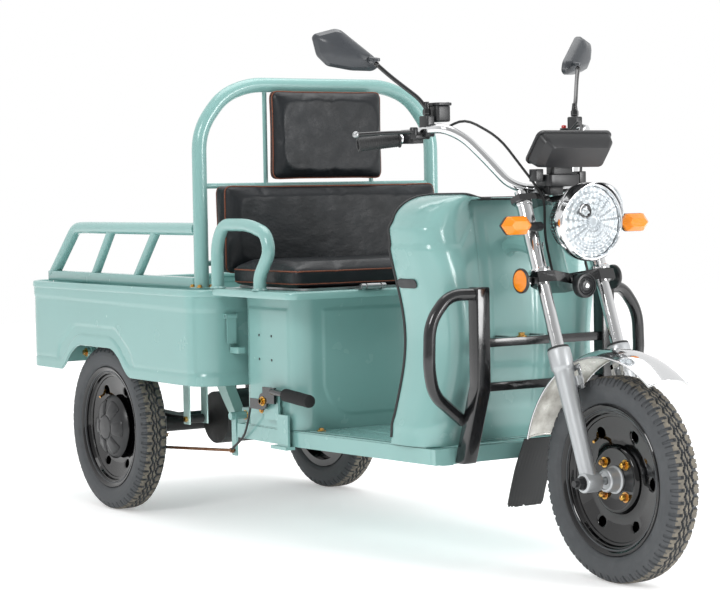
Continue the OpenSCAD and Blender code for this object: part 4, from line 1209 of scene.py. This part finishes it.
def shield_half(z):
    """Half width of the shield's rear edge: waisted below, rounded off at the top."""
    t = (z - 280) / 578
    waist = 250 - 24 * np.sin(2 * np.pi * (t - 0.18) / 0.98)
    top = 262 - 112.5 * (1 - np.sqrt(np.maximum(0, 1 - ((z - 790) / 68) ** 2)))
    return waist + (top - waist) * step(z - 790, 24)


def shield_nose(z):
    """How far forward the shield's middle bulges."""
    return 619 + 36 * np.sin(np.pi * np.clip((z - 280) / 578, 0, 1))


def shield_sheet(rows=120, columns=241):
    """Points of the shield: a softened nine-corner section at each height, pressed with ridges and folds."""
    v = np.linspace(0, 1, columns)
    sections = []
    heights = np.linspace(0, 1, rows)
    for u in heights:
        z = SHIELD_LOW + (SHIELD_TOP - SHIELD_LOW) * u
        w, nose = float(shield_half(z)), float(shield_nose(z))
        half = np.array([(490, w), (530, w + 3), (nose - 50, w - 2), (nose - 14, w - 22), (nose, w - 52),
                         (nose - 3, w - 90), (nose - 30, 108), (nose - 44, 94), (nose - 46, 0)])
        whole = np.vstack([half * (1, -1), half[::-1][1:]])
        sections.append(even(soft(whole, 26, 6), columns))
    flat = np.array(sections)
    y = flat[..., 1]
    drop = 11 * (1 - step(np.abs(y) - 112, 46))
    z = SHIELD_LOW + (SHIELD_TOP - drop - SHIELD_LOW) * heights[:, None]
    p = np.concatenate([flat, z[..., None]], -1)
    tangent = np.gradient(flat, axis=1)
    out = unit(np.stack([-tangent[..., 1], tangent[..., 0]], -1))
    out = out * np.sign(out[..., :1].mean() + 1e-9)
    lift = shield_relief(np.abs(y), z)
    p[..., :2] += out * lift[..., None]
    return p


def shield_relief(y, z):
    """Pressed relief: a ledge under the top of each wing that slants down from the middle, and two soft folds."""
    edge = 740 + 78 * np.clip((165 - y) / 70, 0, 1)
    wing = step(y - 100, 16)
    ledge = -4.5 * step(z - edge, 14) * wing
    panel = -2.5 * step(62 - y, 12) * step(z - 360, 20) * step(790 - z, 20)
    lower = 3.0 * np.exp(-((z - 330) / 16) ** 2) * wing
    return ledge + panel + lower


class TRICYCLE_OT_shield(bpy.types.Operator):
    """Presses the leg shield with its edge trim and side slots"""

    bl_idname = "tricycle.shield"
    bl_label = "Leg shield"

    def execute(self, context):
        """One curved sheet with a rubber strip folded over its edges."""
        p = shield_sheet()
        piece("shield_panel", thick(p, 2.2), "paint", "chassis", ("leg_shield",), sharp=60)
        rim = np.vstack([p[3:, 0], p[-1, 1:-1], p[3:, -1][::-1]])
        lip = rounded(8, 7, 2.6, 4)
        trim = ribbon(even(rim, 420), lip, (1, 0, 0))
        piece("shield_edging", trim, "rubber", "chassis", ("shield_trim",))
        slots = []
        for side in (-1, 1):
            row = int(round((655 - SHIELD_LOW) / (SHIELD_TOP - SHIELD_LOW) * (p.shape[0] - 1)))
            line = p[row]
            k = np.argmin(np.abs(line[:, 0] - 534) + 1e3 * (np.sign(line[:, 1]) != side))
            along = unit(line[min(k + 3, len(line) - 1)] - line[max(k - 3, 0)])
            up = unit(p[row + 3, k] - p[row - 3, k])
            if np.cross(along, up)[1] * side < 0:
                along = -along
            slots.append(slab(rounded(74, 22, 10.5, 8), 2.6, 1.1).placed(line[k], along, up))
        piece("shield_slots", joined(slots), "plastic", "chassis")
        return {"FINISHED"}


class TRICYCLE_OT_guard(bpy.types.Operator):
    """Welds the front crash guard: square posts, round loops and cross bars"""

    bl_idname = "tricycle.guard"
    bl_label = "Crash guard"

    def execute(self, context):
        """Folded posts as edge-rounded slabs, loops as bent tube."""
        shells = []
        for side in (-1, 1):
            outline = np.array([(700, 650), (736, 650), (736, 420), (676, 246), (640.4, 246), (640.4, 252), (700, 430)],
                               float)
            post = slab(soft(outline, 6, 3, loop=True)[::-1], 36, 3, 3)
            x, z, y = post.points.T
            shells.append(Shell(np.stack([x, side * (162 + y), z], 1), post.faces))
            path = np.array([(718, 190, 634), (700, 250, 634), (696, 300, 575), (696, 304, 470), (686, 285, 410),
                             (664, 192, 345)])
            shells.append(tube(even(soft(path * (1, side, 1), 55, 10), 90), 14, 32))
        for low, high in ((513, 533), (413, 433)):
            shells.append(box((706, -163, low), (726, 163, high), 2, 3))
        for y in (-60, 40):
            shells.append(box((612, y, 516), (708, y + 20, 530), 2, 3))
        piece("guard_frame", joined(shells), "black", "chassis", ("crash_guard",))
        bolts = [nut((716, -60, 533), (0, 0, 1), 15, 9, 12)]
        bolts += [nut((620, side * 240, 262), (0, side, 0), 15, 9, 12) for side in (-1, 1)]
        piece("guard_bolts", joined(bolts), "gold", "chassis")
        return {"FINISHED"}


class TRICYCLE_OT_frame_finish(bpy.types.Operator):
    """Finishes the frame, axle and drive, and adds their bolts and U-bolts"""

    bl_idname = "tricycle.frame_finish"
    bl_label = "Frame and drive"

    def execute(self, context):
        """Frame nodes keep their shape; fasteners and a beaded foot board are added."""
        for name, finish in NODE_FINISH.items():
            dress(name, finish)
        self.mat()
        self.fasteners()
        return {"FINISHED"}

    def mat(self):
        """Foot board sheet with five long beads, each 1.6 sin^2 of the way across it."""
        x = np.linspace(150, 590, 90)[:, None]
        half = np.interp(x, [120, 600], [286, 238])
        y = np.linspace(-1, 1, 181)[None] * half
        bead = np.sin(np.pi * np.clip((y + 210) / 420 * 5 % 1 * 3 - 1, 0, 1)) ** 2 * (np.abs(y) < 210)
        z = FLOOR_TOP + 2.6 + 1.6 * bead * step(x - 190, 30) * step(560 - x, 30)
        piece("foot_board_sheet", thick(np.stack([x + 0 * y, y, z], -1), -2.0), "paint", "chassis")
        gold = [nut((x, side * y, FLOOR_TOP + 3.4), (0, 0, 1), 13, 7, 11) for side in (-1, 1)
                for x, y in ((170, 262), (560, 218))]
        piece("foot_board_bolts", joined(gold), "gold", "chassis")

    def fasteners(self):
        """U-bolts over the springs, shackle bolts and bed pivot nuts."""
        bolts, steel = [], []
        for side in (-1, 1):
            y = side * 240
            for x in (-506, -1098):
                bolts.append(nut((x, y + side * 25, 262), (0, side, 0), 17, 10, 12))
            for dx in (-24, 24):
                steel.append(rod((REAR[0] + dx, y - 27, 252), (REAR[0] + dx, y - 27, 190), 5, 14))
                steel.append(rod((REAR[0] + dx, y + 27, 252), (REAR[0] + dx, y + 27, 190), 5, 14))
                bolts.append(nut((REAR[0] + dx, y - 27, 200), (0, 0, -1), 15, 9, 11))
                bolts.append(nut((REAR[0] + dx, y + 27, 200), (0, 0, -1), 15, 9, 11))
        piece("spring_nuts", joined(bolts), "gold", "rear_axle")
        piece("spring_u_bolts", joined(steel), "zinc", "rear_axle")
        pivots = [nut((-1150, side * 251, 408), (0, side, 0), 17, 9, 13) for side in (-1, 1)]
        pivots += [nut((-216, side * 252, 295), (0, side, 0), 15, 8, 12) for side in (-1, 1)]
        piece("pivot_nuts", joined(pivots), "gold", "chassis")


# --- seat ----------------------------------------------------------------------------


class TRICYCLE_OT_seat_box(bpy.types.Operator):
    """Presses the seat box with its embossed sides"""

    bl_idname = "tricycle.seat_box"
    bl_label = "Seat box"

    def execute(self, context):
        """A rounded-corner wall from the floor to the deck with raised panels on its faces."""
        low, high = span("seat_box")
        x0, x1, z0, z1 = -150.0, 134.0, low[2], high[2]
        size = np.array([x1 - x0, 600.0])
        mid = np.array([(x1 + x0) / 2, 0])
        corners = rounded(size[0], size[1], 50, 16)
        outline = even(np.vstack([corners, corners[:1]]), 461)[:-1]
        z = np.linspace(z0, z1, 80)
        along = unit(np.roll(outline, -1, 0) - np.roll(outline, 1, 0))
        out = np.stack([along[:, 1], -along[:, 0]], 1)
        out = out * np.sign((out * outline).sum(1).mean())
        x, y = outline[:, 0] + mid[0], outline[:, 1]
        lift = self.relief(x[None], y[None], z[:, None])
        p = np.empty((len(z), len(outline), 3))
        p[..., :2] = (outline + mid)[None] + out[None] * lift[..., None]
        p[..., 2] = z[:, None]
        inner = p.copy()
        inner[..., :2] -= out[None] * 2.4
        shell = grid(np.concatenate([p, inner[::-1]]), loop_u=True, loop_v=True)
        keeper = box((-168, -324, 462), (-126, -299, 478), 2, 4)
        piece("seat_box_walls", shell + keeper, "paint", "chassis", ("seat_box",), sharp=50)
        holes = [lathe([(0, 0), (3.4, 0), (3.4, 0.7), (2.6, 1), (0, 1)], (x, side * 302.8, z), (0, side, 0), 16)
                 for side in (-1, 1) for x in (-52, 8) for z in (452, 512)]
        piece("seat_box_plugs", joined(holes), "plastic", "chassis")
        return {"FINISHED"}

    def relief(self, x, y, z):
        """Raised fields with softened borders on the sides and the front."""
        low = np.maximum(408 - z, 0)
        side = step(np.abs(y) - 285, 10) * step(x + 104, 8) * step(90 - np.hypot(np.maximum(x + 4, 0), low), 8)
        front = step(x - 120, 8) * step(90 - np.hypot(np.maximum(np.abs(y) - 140, 0), low), 8)
        return 3.0 * (side + front) * step(580 - z, 8)


def tray_outline(inset):
    """The seat deck's rounded outline, drawn in by the inset."""
    size, mid = (DECK_HIGH - DECK_LOW)[:2], (DECK_HIGH + DECK_LOW)[:2] / 2
    return rounded(size[0] - 2 * inset, size[1] - 2 * inset, max(24 - inset, 6), 10) + mid


class TRICYCLE_OT_bench(bpy.types.Operator):
    """Presses the seat deck and bends the armrests"""

    bl_idname = "tricycle.bench"
    bl_label = "Bench"

    def execute(self, context):
        """A tray with a rolled edge and an opening over the box, and two tube armrests."""
        hole = rounded(224, 520, 20, 10) + (-8, 0)
        top = DECK_HIGH[2]
        rim = [(1.2, 18), (0, 16.5), (0, 7), (0.6, 3.6), (2.2, 1.2), (5, 0), (14, 0), (16, 1.4), (26, 1.4), (28, 0)]
        under = [(7, 2.8), (2.8, 6), (2.8, 18)]
        levels = [(tray_outline(inset), top - drop) for inset, drop in rim] + [(hole, top), (hole, top - 2.6)]
        levels += [(tray_outline(inset), top - drop) for inset, drop in under]
        piece("seat_deck_tray", loft(levels, loop=True), "paint", "chassis", ("seat_deck",), sharp=45)
        rails, feet = [], []
        for side in (-1, 1):
            path = [(-142, top + 0.4), (-142, 740), (-108, 790), (20, 790), (100, 770), (118, 725), (68, top + 34),
                    (68, top + 0.4)]
            path = np.array([(x, side * 368, z) for x, z in path])
            rails.append(tube(even(soft(path, 62, 12), 120), 16, 32))
            for x in (-142, 68):
                feet.append(lathe([(15.5, 0.2), (21, 0.2), (21.5, 0.8), (19, 3), (16.2, 5.5)], (x, side * 368, top),
                                  (0, 0, 1), 32))
        piece("armrest_tubes", joined(rails) + joined(feet), "paint", "chassis", ("armrests",))
        return {"FINISHED"}


def pad_form(low, high, radius, crown, n=26):
    """A rounded block: points pulled to a smaller core, pushed out by the radius, faces crowned by (1-u^2)(1-v^2)."""
    low, high = np.asarray(low, float), np.asarray(high, float)
    mid, half = (low + high) / 2, (high - low) / 2
    s = np.linspace(-1, 1, n)
    s = np.sign(s) * (1 - (1 - np.abs(s)) ** 1.3)
    u, v = np.meshgrid(s, s, indexing="ij")
    one = np.ones_like(u)
    sides = [(u, v, one), (v, u, -one), (v, one, u), (u, -one, v), (one, u, v), (-one, v, u)]
    shells = [grid(np.stack(q, -1) * half) for q in sides]
    shell = joined(shells)
    p = shell.points
    core = half - radius
    q = np.clip(p, -core, core)
    p = q + unit(p - q + 1e-9 * np.sign(p)) * radius
    thin = int(np.argmin(half))
    others = [k for k in range(3) if k != thin]
    f = np.prod([1 - (p[:, k] / half[k]) ** 2 for k in others], 0)
    p[:, thin] += np.where(p[:, thin] > 0, crown[1], -crown[0]) * np.clip(f, 0, 1) ** 0.6
    return Shell(p + mid, shell.faces)


class TRICYCLE_OT_cushions(bpy.types.Operator):
    """Upholsters the seat, the back cushion and the head cushion"""

    bl_idname = "tricycle.cushions"
    bl_label = "Cushions"

    def execute(self, context):
        """Each cushion is a crowned block, inflated by cloth pressure, then piped."""
        for name, cad, body, thin, crown in (
            ("seat_cushion_cover", "seat_cushion", "seat", 2, (0, 5)),
            ("back_cushion_cover", "back_cushion", "bed", 0, (0, 8)),
            ("head_cushion_cover", "head_cushion", "bed", 0, (0, 8)),
        ):
            self.cushion(name, cad, body, thin, crown)
        return {"FINISHED"}

    def cushion(self, name, cad, body, thin, crown):
        """Builds one cushion and its piping."""
        low, high = span(cad)
        inset = np.array([5.0, 5.0, 5.0])
        inset[thin] = 1.0
        top_inset = inset.copy()
        top_inset[thin] = 7.0
        shell = pad_form(low + inset, high - top_inset, 17 if thin else 16, crown)
        obj = piece(name, shell, "leather", body, (cad,), sharp=180)
        with edited(obj.data) as form:
            bmesh.ops.remove_doubles(form, verts=form.verts, dist=0.0004)
            bmesh.ops.recalc_face_normals(form, faces=form.faces)
        inflate(obj, thin, low * MM, high * MM)
        obj.data.shade_smooth()
        self.piping(name, obj, low, high, thin, body)

    def piping(self, name, obj, low, high, thin, body):
        """A cord snapped to the cover round its face and a second along its base."""
        tree = BVHTree.FromObject(obj, bpy.context.evaluated_depsgraph_get())
        k = [i for i in range(3) if i != thin]
        size, mid = (high - low)[k], ((high + low) / 2)[k]
        cords = []
        for inset, level, radius in ((2.0, high[thin] - 15, 1.8), (2.0, low[thin] + 7, 1.5)):
            outline = rounded(size[0] - 2 * inset, size[1] - 2 * inset, 20, 8)
            outline = even(np.vstack([outline, outline[:1]]), 320)[:-1] + mid
            p = np.empty((len(outline), 3))
            p[:, k[0]], p[:, k[1]], p[:, thin] = outline[:, 0], outline[:, 1], level
            snapped = []
            for q in p:
                hit, normal, _, _ = tree.find_nearest(Vector(q * MM))
                snapped.append(np.array(hit) / MM + np.array(normal) * radius * 0.35)
            cords.append(closed_tube(np.array(snapped), radius, 10))
        piece(name + "_piping", joined(cords), "thread", body)


def closed_tube(path, radius, sides=12):
    """A round cord along a closed line, each ring in the plane of the line's normal."""
    t = unit(np.roll(path, -1, 0) - np.roll(path, 1, 0))
    middle = path.mean(0)
    span_ = path.max(0) - path.min(0)
    thin = np.eye(3)[int(np.argmin(span_))]
    s = unit(np.cross(t, thin))
    up = np.cross(t, s)
    a = np.linspace(0, 2 * np.pi, sides, endpoint=False)[None, :, None]
    p = path[:, None] + radius * (np.cos(a) * s[:, None] + np.sin(a) * up[:, None])
    return grid(p, loop_u=True, loop_v=True)


def inflate(obj, thin, low, high):
    """Voxel remesh, twenty steps of cloth under pressure, movement capped, then one subdivision."""
    scene = bpy.context.scene
    bpy.context.view_layer.objects.active = obj
    remesh = obj.modifiers.new("skin", "REMESH")
    remesh.mode = "VOXEL"
    remesh.voxel_size = 0.006
    bpy.context.view_layer.update()
    mesh = bpy.data.meshes.new_from_object(obj.evaluated_get(bpy.context.evaluated_depsgraph_get()))
    obj.modifiers.clear()
    materials = list(obj.data.materials)
    obj.data = mesh
    mesh.materials.clear()
    for material in materials:
        mesh.materials.append(material)
    count = len(mesh.vertices)
    rest = np.empty(count * 3)
    mesh.vertices.foreach_get("co", rest)
    cloth = obj.modifiers.new("cloth", "CLOTH")
    cloth.settings.quality = 4
    cloth.settings.use_pressure = True
    cloth.settings.uniform_pressure_force = 4.0
    cloth.settings.effector_weights.gravity = 0.0
    cloth.settings.mass = 0.4
    cloth.settings.tension_stiffness = 25
    cloth.settings.compression_stiffness = 25
    cloth.settings.bending_stiffness = 1.5
    cloth.point_cache.frame_start, cloth.point_cache.frame_end = 1, 20
    for frame_number in range(1, 21):
        scene.frame_set(frame_number)
    swollen = obj.evaluated_get(bpy.context.evaluated_depsgraph_get()).data
    after = np.empty(count * 3)
    swollen.vertices.foreach_get("co", after)
    obj.modifiers.clear()
    scene.frame_set(1)
    rest, after = rest.reshape(-1, 3), after.reshape(-1, 3)
    move = after - rest
    size = np.linalg.norm(move, axis=1, keepdims=True)
    cap = options().cushion_swell
    move = move * np.minimum(1, cap / np.maximum(size, 1e-9)) * (0.2 + 0.8 * np.eye(3)[thin])
    depth = (rest[:, thin] - low[thin]) / (high[thin] - low[thin])
    hold = np.clip(depth * 4, 0, 1)[:, None]
    final = rest + move * hold
    final = np.clip(final, low + 0.0002, high - 0.0002 + np.eye(3)[thin] * 0.008)
    mesh.vertices.foreach_set("co", final.reshape(-1))
    mesh.update()
    finer = obj.modifiers.new("finer", "SUBSURF")
    finer.levels = finer.render_levels = 1


class TRICYCLE_OT_handbrake(bpy.types.Operator):
    """Fits the hand brake's foam grip and pivot bolt"""

    bl_idname = "tricycle.handbrake"
    bl_label = "Hand brake"

    def execute(self, context):
        """A foam sleeve with rounded ends on the steel pull."""
        a, b = np.array([48.0, -328.5, 379]), np.array([226.0, -328.5, 366])
        axis = unit(b - a)
        outline = [(8.1, 0), (14, 0), (15.6, 1.5), (16, 4), (15.7, 30), (16, 60), (15.7, 90), (16, 110), (15, 115),
                   (12, 117.5), (0, 118), (0, 116), (8.1, 115)]
        piece("handbrake_foam", lathe(outline, b - axis * 114, axis, 36), "foam", "handbrake", ("handbrake_grip",))
        piece("handbrake_nut", nut((8, -332, 352), (0, -1, 0), 17, 8, 12), "gold", "chassis")
        plate = slab(rounded(86, 60, 12, 6), 3, 0.8).placed((0, -308, 346), (1, 0, 0), (0, 0, 1))
        piece("handbrake_plate", plate, "paint", "chassis")
        teeth = np.linspace(0.2, 1.5, 40)
        radius = 34 + 2.4 * saw(np.linspace(0, 9, 40))
        arc = np.column_stack([radius * np.cos(teeth), radius * np.sin(teeth)])
        sector = slab(np.vstack([arc, [(-10, 6), (-6, -10), (14, -8)]]), 3, 0.5)
        piece("handbrake_ratchet", sector.placed((8, -311, 352), (1, 0, 0), (0, 0, 1)), "zinc", "chassis")
        bolts = [nut((x, -311, z), (0, -1, 0), 12, 6, 9) for x, z in ((-32, 326), (34, 326))]
        piece("handbrake_bolts", joined(bolts), "gold", "chassis")
        return {"FINISHED"}


# --- cargo bed -----------------------------------------------------------------------


ARCH = np.array([(-962, 379), (-948, 412), (-880, 453), (-662, 453), (-600, 412), (-582, 379)], float)


def bed_path(n=600):
    """The bed's plan outline from one end of the tailgate gap round the front to the other, evenly spaced."""
    rear, front, half = -1200.0, -176.0, 405.0
    line = [(rear, -330)]
    corner = 66
    for cx, cy, start in ((rear + corner, corner - half, 180), (front - corner, corner - half, 270),
                          (front - corner, half - corner, 0), (rear + corner, half - corner, 90)):
        a = np.radians(np.linspace(start, start + 90, 14))
        line += list(zip(cx + corner * np.cos(a), cy + corner * np.sin(a)))
    line.append((rear, 330))
    return even(np.array(line), n)


class TRICYCLE_OT_bed(bpy.types.Operator):
    """Presses the cargo bed: walls with wheel arches, rolled rim and ribbed floor"""

    bl_idname = "tricycle.bed"
    bl_label = "Cargo bed"

    def execute(self, context):
        """A wall carried round the plan outline; its lower edge follows the wheel arches."""
        path = bed_path()
        along = unit(np.gradient(path, axis=0))
        out = np.stack([along[:, 1], -along[:, 0]], 1)
        side_wall = np.abs(path[:, 1]) > 398
        low = np.where(side_wall, np.interp(path[:, 0], ARCH[:, 0], ARCH[:, 1] + 1), 380.0)
        low = np.where((path[:, 0] < -962) | (path[:, 0] > -582), 380.0, low)
        ease = np.convolve(np.pad(low, 5, mode="edge"), np.ones(11) / 11, mode="valid")
        low = np.where(side_wall, ease, low)
        u = np.concatenate([np.linspace(0, 0.3, 16), np.linspace(0.3, 1, 34)[1:]])[:, None]
        z = low[None] + (612 - low[None]) * u
        lift = self.relief(path[:, 0][None], z, low[None], side_wall[None])
        p = np.empty((len(u), len(path), 3))
        p[..., :2] = path[None] + out[None] * lift[..., None]
        p[..., 2] = z
        wall = thick(p.transpose(1, 0, 2), 2.4)
        edge = tube(p[0] - np.column_stack([out, np.zeros(len(out))]) * 1.2, 2.4, 10)
        rear = box((-1200, -331, 380), (-1197, 331, 503.8), 0.8, 1)
        shell = wall + edge + rear + self.rim() + self.floor()
        for y in (-333, 333):
            shell = shell + box((-1200.5, y - 3, 500), (-1137.5, y + 3, 612), 1, 1.5)
        lugs = []
        for y in (-240, 0, 240):
            lugs.append(rod((-1203.4, y - 36, 503.5), (-1203.4, y + 36, 503.5), 0.95, 12))
            for e in (y - 36, y + 30.5):
                lugs.append(box((-1206.4, e, 500), (-1199.9, e + 5.5, 507), 1, 2))
        for y in (-336, -304):
            lugs.append(box((-177, y, 550), (-161, y + 4, 562), 1, 2))
        lugs.append(rod((-165, -336, 556), (-165, -300, 556), 3, 16))
        piece("bed_pressing", shell + joined(lugs), "paint", "bed", ("bed_tub",), sharp=40)
        dress("bed_beams", "paint")
        return {"FINISHED"}

    def relief(self, x, z, low, side_wall):
        """Flared lower band, and a crease that runs round the front of each wheel arch."""
        band = 3.5 * step(low + 27 - z, 5)
        arch = np.stack(np.broadcast_arrays(x, z), -1)
        a, b = ARCH[:-1], ARCH[1:]
        best = np.full(arch.shape[:2], 1e9)
        for start, end in zip(a, b):
            leg = end - start
            t = np.clip(((arch - start) @ leg) / (leg @ leg), 0, 1)
            best = np.minimum(best, np.linalg.norm(arch - (start + t[..., None] * leg), axis=-1))
        crease = 3.0 * step(best - 56, 6) * step(z - low - 30, 10)
        ledge = 2.6 * step(z - 583 + 0.012 * (x + 1200), 5)
        return np.where(side_wall, band + crease, band) + ledge

    def rim(self):
        """Rolled rim: a rounded strip 16 by 20 mm along the top, open at the tailgate."""
        line = bed_path(400)
        path = np.column_stack([line, np.full(len(line), 614.6)])
        return ribbon(path, rounded(14.5, 20.5, 6, 5) + (3.0, 0), (-1, 0, 0))

    def floor(self):
        """Floor sheet with stiffening ribs every 62 mm along the bed."""
        x = np.linspace(-1196, -180, 60)[:, None]
        y = np.linspace(-401, 401, 209)[None]
        edge = 66 * (1 - np.sqrt(np.maximum(0, 1 - (np.clip(66 - np.minimum(x + 1196, -180 - x), 0, 66) / 66) ** 2)))
        inside = np.clip(y, -(401 - edge), 401 - edge)
        ribs = step(np.abs((y / 62) - np.round(y / 62)) * 62 - 24, 8)
        z = 500.4 + 2.4 * ribs + 0 * x
        return thick(np.stack([x + 0 * y, inside, z], -1), -2.0)


class TRICYCLE_OT_rails(bpy.types.Operator):
    """Bends the bed's side rails and the hoop"""

    bl_idname = "tricycle.rails"
    bl_label = "Side rails and hoop"

    def execute(self, context):
        """Round tube on a square bottom bar, slanted posts, and a tall hoop with cross bars."""
        shells = []
        for side in (-1, 1):
            path = np.array([(-1120, 360, 645), (-971, 360, 776), (-920, 360, 778), (-259.5, 360, 778)])
            shells.append(tube(even(soft(path * (1, side, 1), 60, 12), 90), 16.5, 32))
            for x0, x1 in ((-855, -742), (-600, -478)):
                shells.append(rod((x0, side * 360, 645), (x1, side * 360, 776), 12.5, 28))
            shells.append(box((-1134, side * 360 - 15, 625.3), (-259.5, side * 360 + 15, 653.3), 3, 4))
        piece("side_rail_tubes", joined(shells), "paint", "bed", ("side_rails",))
        w, x, low = 360.0, -240.0, 625.3
        path = [(x, -w, low), (x, -w, 1030), (x, -290, 1118), (x, -210, 1148), (x, 210, 1148), (x, 290, 1118),
                (x, w, 1030), (x, w, low)]
        hoop = [tube(even(soft(path, 55, 14), 220), 19, 36)]
        for z in (888, 690):
            hoop.append(rod((x, -w, z), (x, w, z), 7, 24))
        for y in (-164, 164):
            hoop.append(rod((x, y, 690), (x, y, 1140), 6, 20))
        piece("hoop_tubes", joined(hoop), "paint", "bed", ("hoop",))
        feet = []
        for side in (-1, 1):
            feet.append(box((x - 26, side * w - 24, 625.1), (x + 26, side * w + 24, 629.5), 1, 5))
        piece("hoop_feet", joined(feet), "paint", "bed")
        bolts = [nut((x + dx, side * w + dy, 629.4), (0, 0, 1), 10, 7, 8) for side in (-1, 1)
                 for dx, dy in ((-19, -17), (19, 17), (-19, 17), (19, -17))]
        piece("hoop_foot_bolts", joined(bolts), "gold", "bed")
        return {"FINISHED"}


class TRICYCLE_OT_tailgate(bpy.types.Operator):
    """Presses the tailgate and its latch"""

    bl_idname = "tricycle.tailgate"
    bl_label = "Tailgate"

    def execute(self, context):
        """A sheet with two raised fields, a rolled top and strap hinges."""
        y = np.linspace(-325, 325, 160)[None]
        z = np.linspace(509, 617, 60)[:, None]
        field = step(z - 524, 6) * step(596 - z, 6) * step(np.abs(y) - 18, 6) * step(300 - np.abs(y), 6)
        p = np.stack([-1200.0 + 3.4 * (1 - field), y + 0 * z, z + 0 * y], -1)
        shell = thick(p, 1.6) + box((-1206, -326, 611), (-1190, 326, 624), 4, 5)
        for mid in (-240, 0, 240):
            shell = shell + rod((-1203.4, mid - 30, 503.5), (-1203.4, mid + 30, 503.5), 3, 20)
            shell = shell + box((-1204, mid - 28, 505.9), (-1200, mid + 28, 521.5), 1, 2)
        piece("tailgate_pressing", shell, "paint", "tailgate", ("tailgate",), sharp=40)
        dress("tailgate_latch", "zinc")
        dress("bed_latch", "paint")
        return {"FINISHED"}


# --- sidebar and running -------------------------------------------------------------


OPERATORS = (
    TRICYCLE_OT_stage, TRICYCLE_OT_tyres, TRICYCLE_OT_rims, TRICYCLE_OT_fork, TRICYCLE_OT_mudguard,
    TRICYCLE_OT_headlight, TRICYCLE_OT_signals, TRICYCLE_OT_instruments, TRICYCLE_OT_handlebar, TRICYCLE_OT_mirrors,
    TRICYCLE_OT_shield, TRICYCLE_OT_guard, TRICYCLE_OT_frame_finish, TRICYCLE_OT_seat_box, TRICYCLE_OT_bench,
    TRICYCLE_OT_cushions, TRICYCLE_OT_handbrake, TRICYCLE_OT_bed, TRICYCLE_OT_rails, TRICYCLE_OT_tailgate,
)


class TRICYCLE_PT_sidebar(bpy.types.Panel):
    """Sizes, colours and the steps that build the tricycle"""

    bl_idname = "TRICYCLE_PT_sidebar"
    bl_label = "Cargo Tricycle"
    bl_space_type = "VIEW_3D"
    bl_region_type = "UI"
    bl_category = "Tricycle"

    def draw(self, context):
        """Options above, one button for each operator below."""
        for name in TricycleOptions.__annotations__:
            self.layout.prop(context.scene.tricycle, name)
        for kind in OPERATORS:
            self.layout.operator(kind.bl_idname)


CLASSES = (TricycleOptions,) + OPERATORS + (TRICYCLE_PT_sidebar,)


def register():
    """Registers the classes and the scene's options."""
    for kind in CLASSES:
        bpy.utils.register_class(kind)
    bpy.types.Scene.tricycle = bpy.props.PointerProperty(type=TricycleOptions)


def unregister():
    """Takes them out again."""
    del bpy.types.Scene.tricycle
    for kind in reversed(CLASSES):
        bpy.utils.unregister_class(kind)


def main():
    register()
    for kind in OPERATORS:
        group, name = kind.bl_idname.split(".")
        getattr(getattr(bpy.ops, group), name)()


if __name__ == "__main__":
    main()
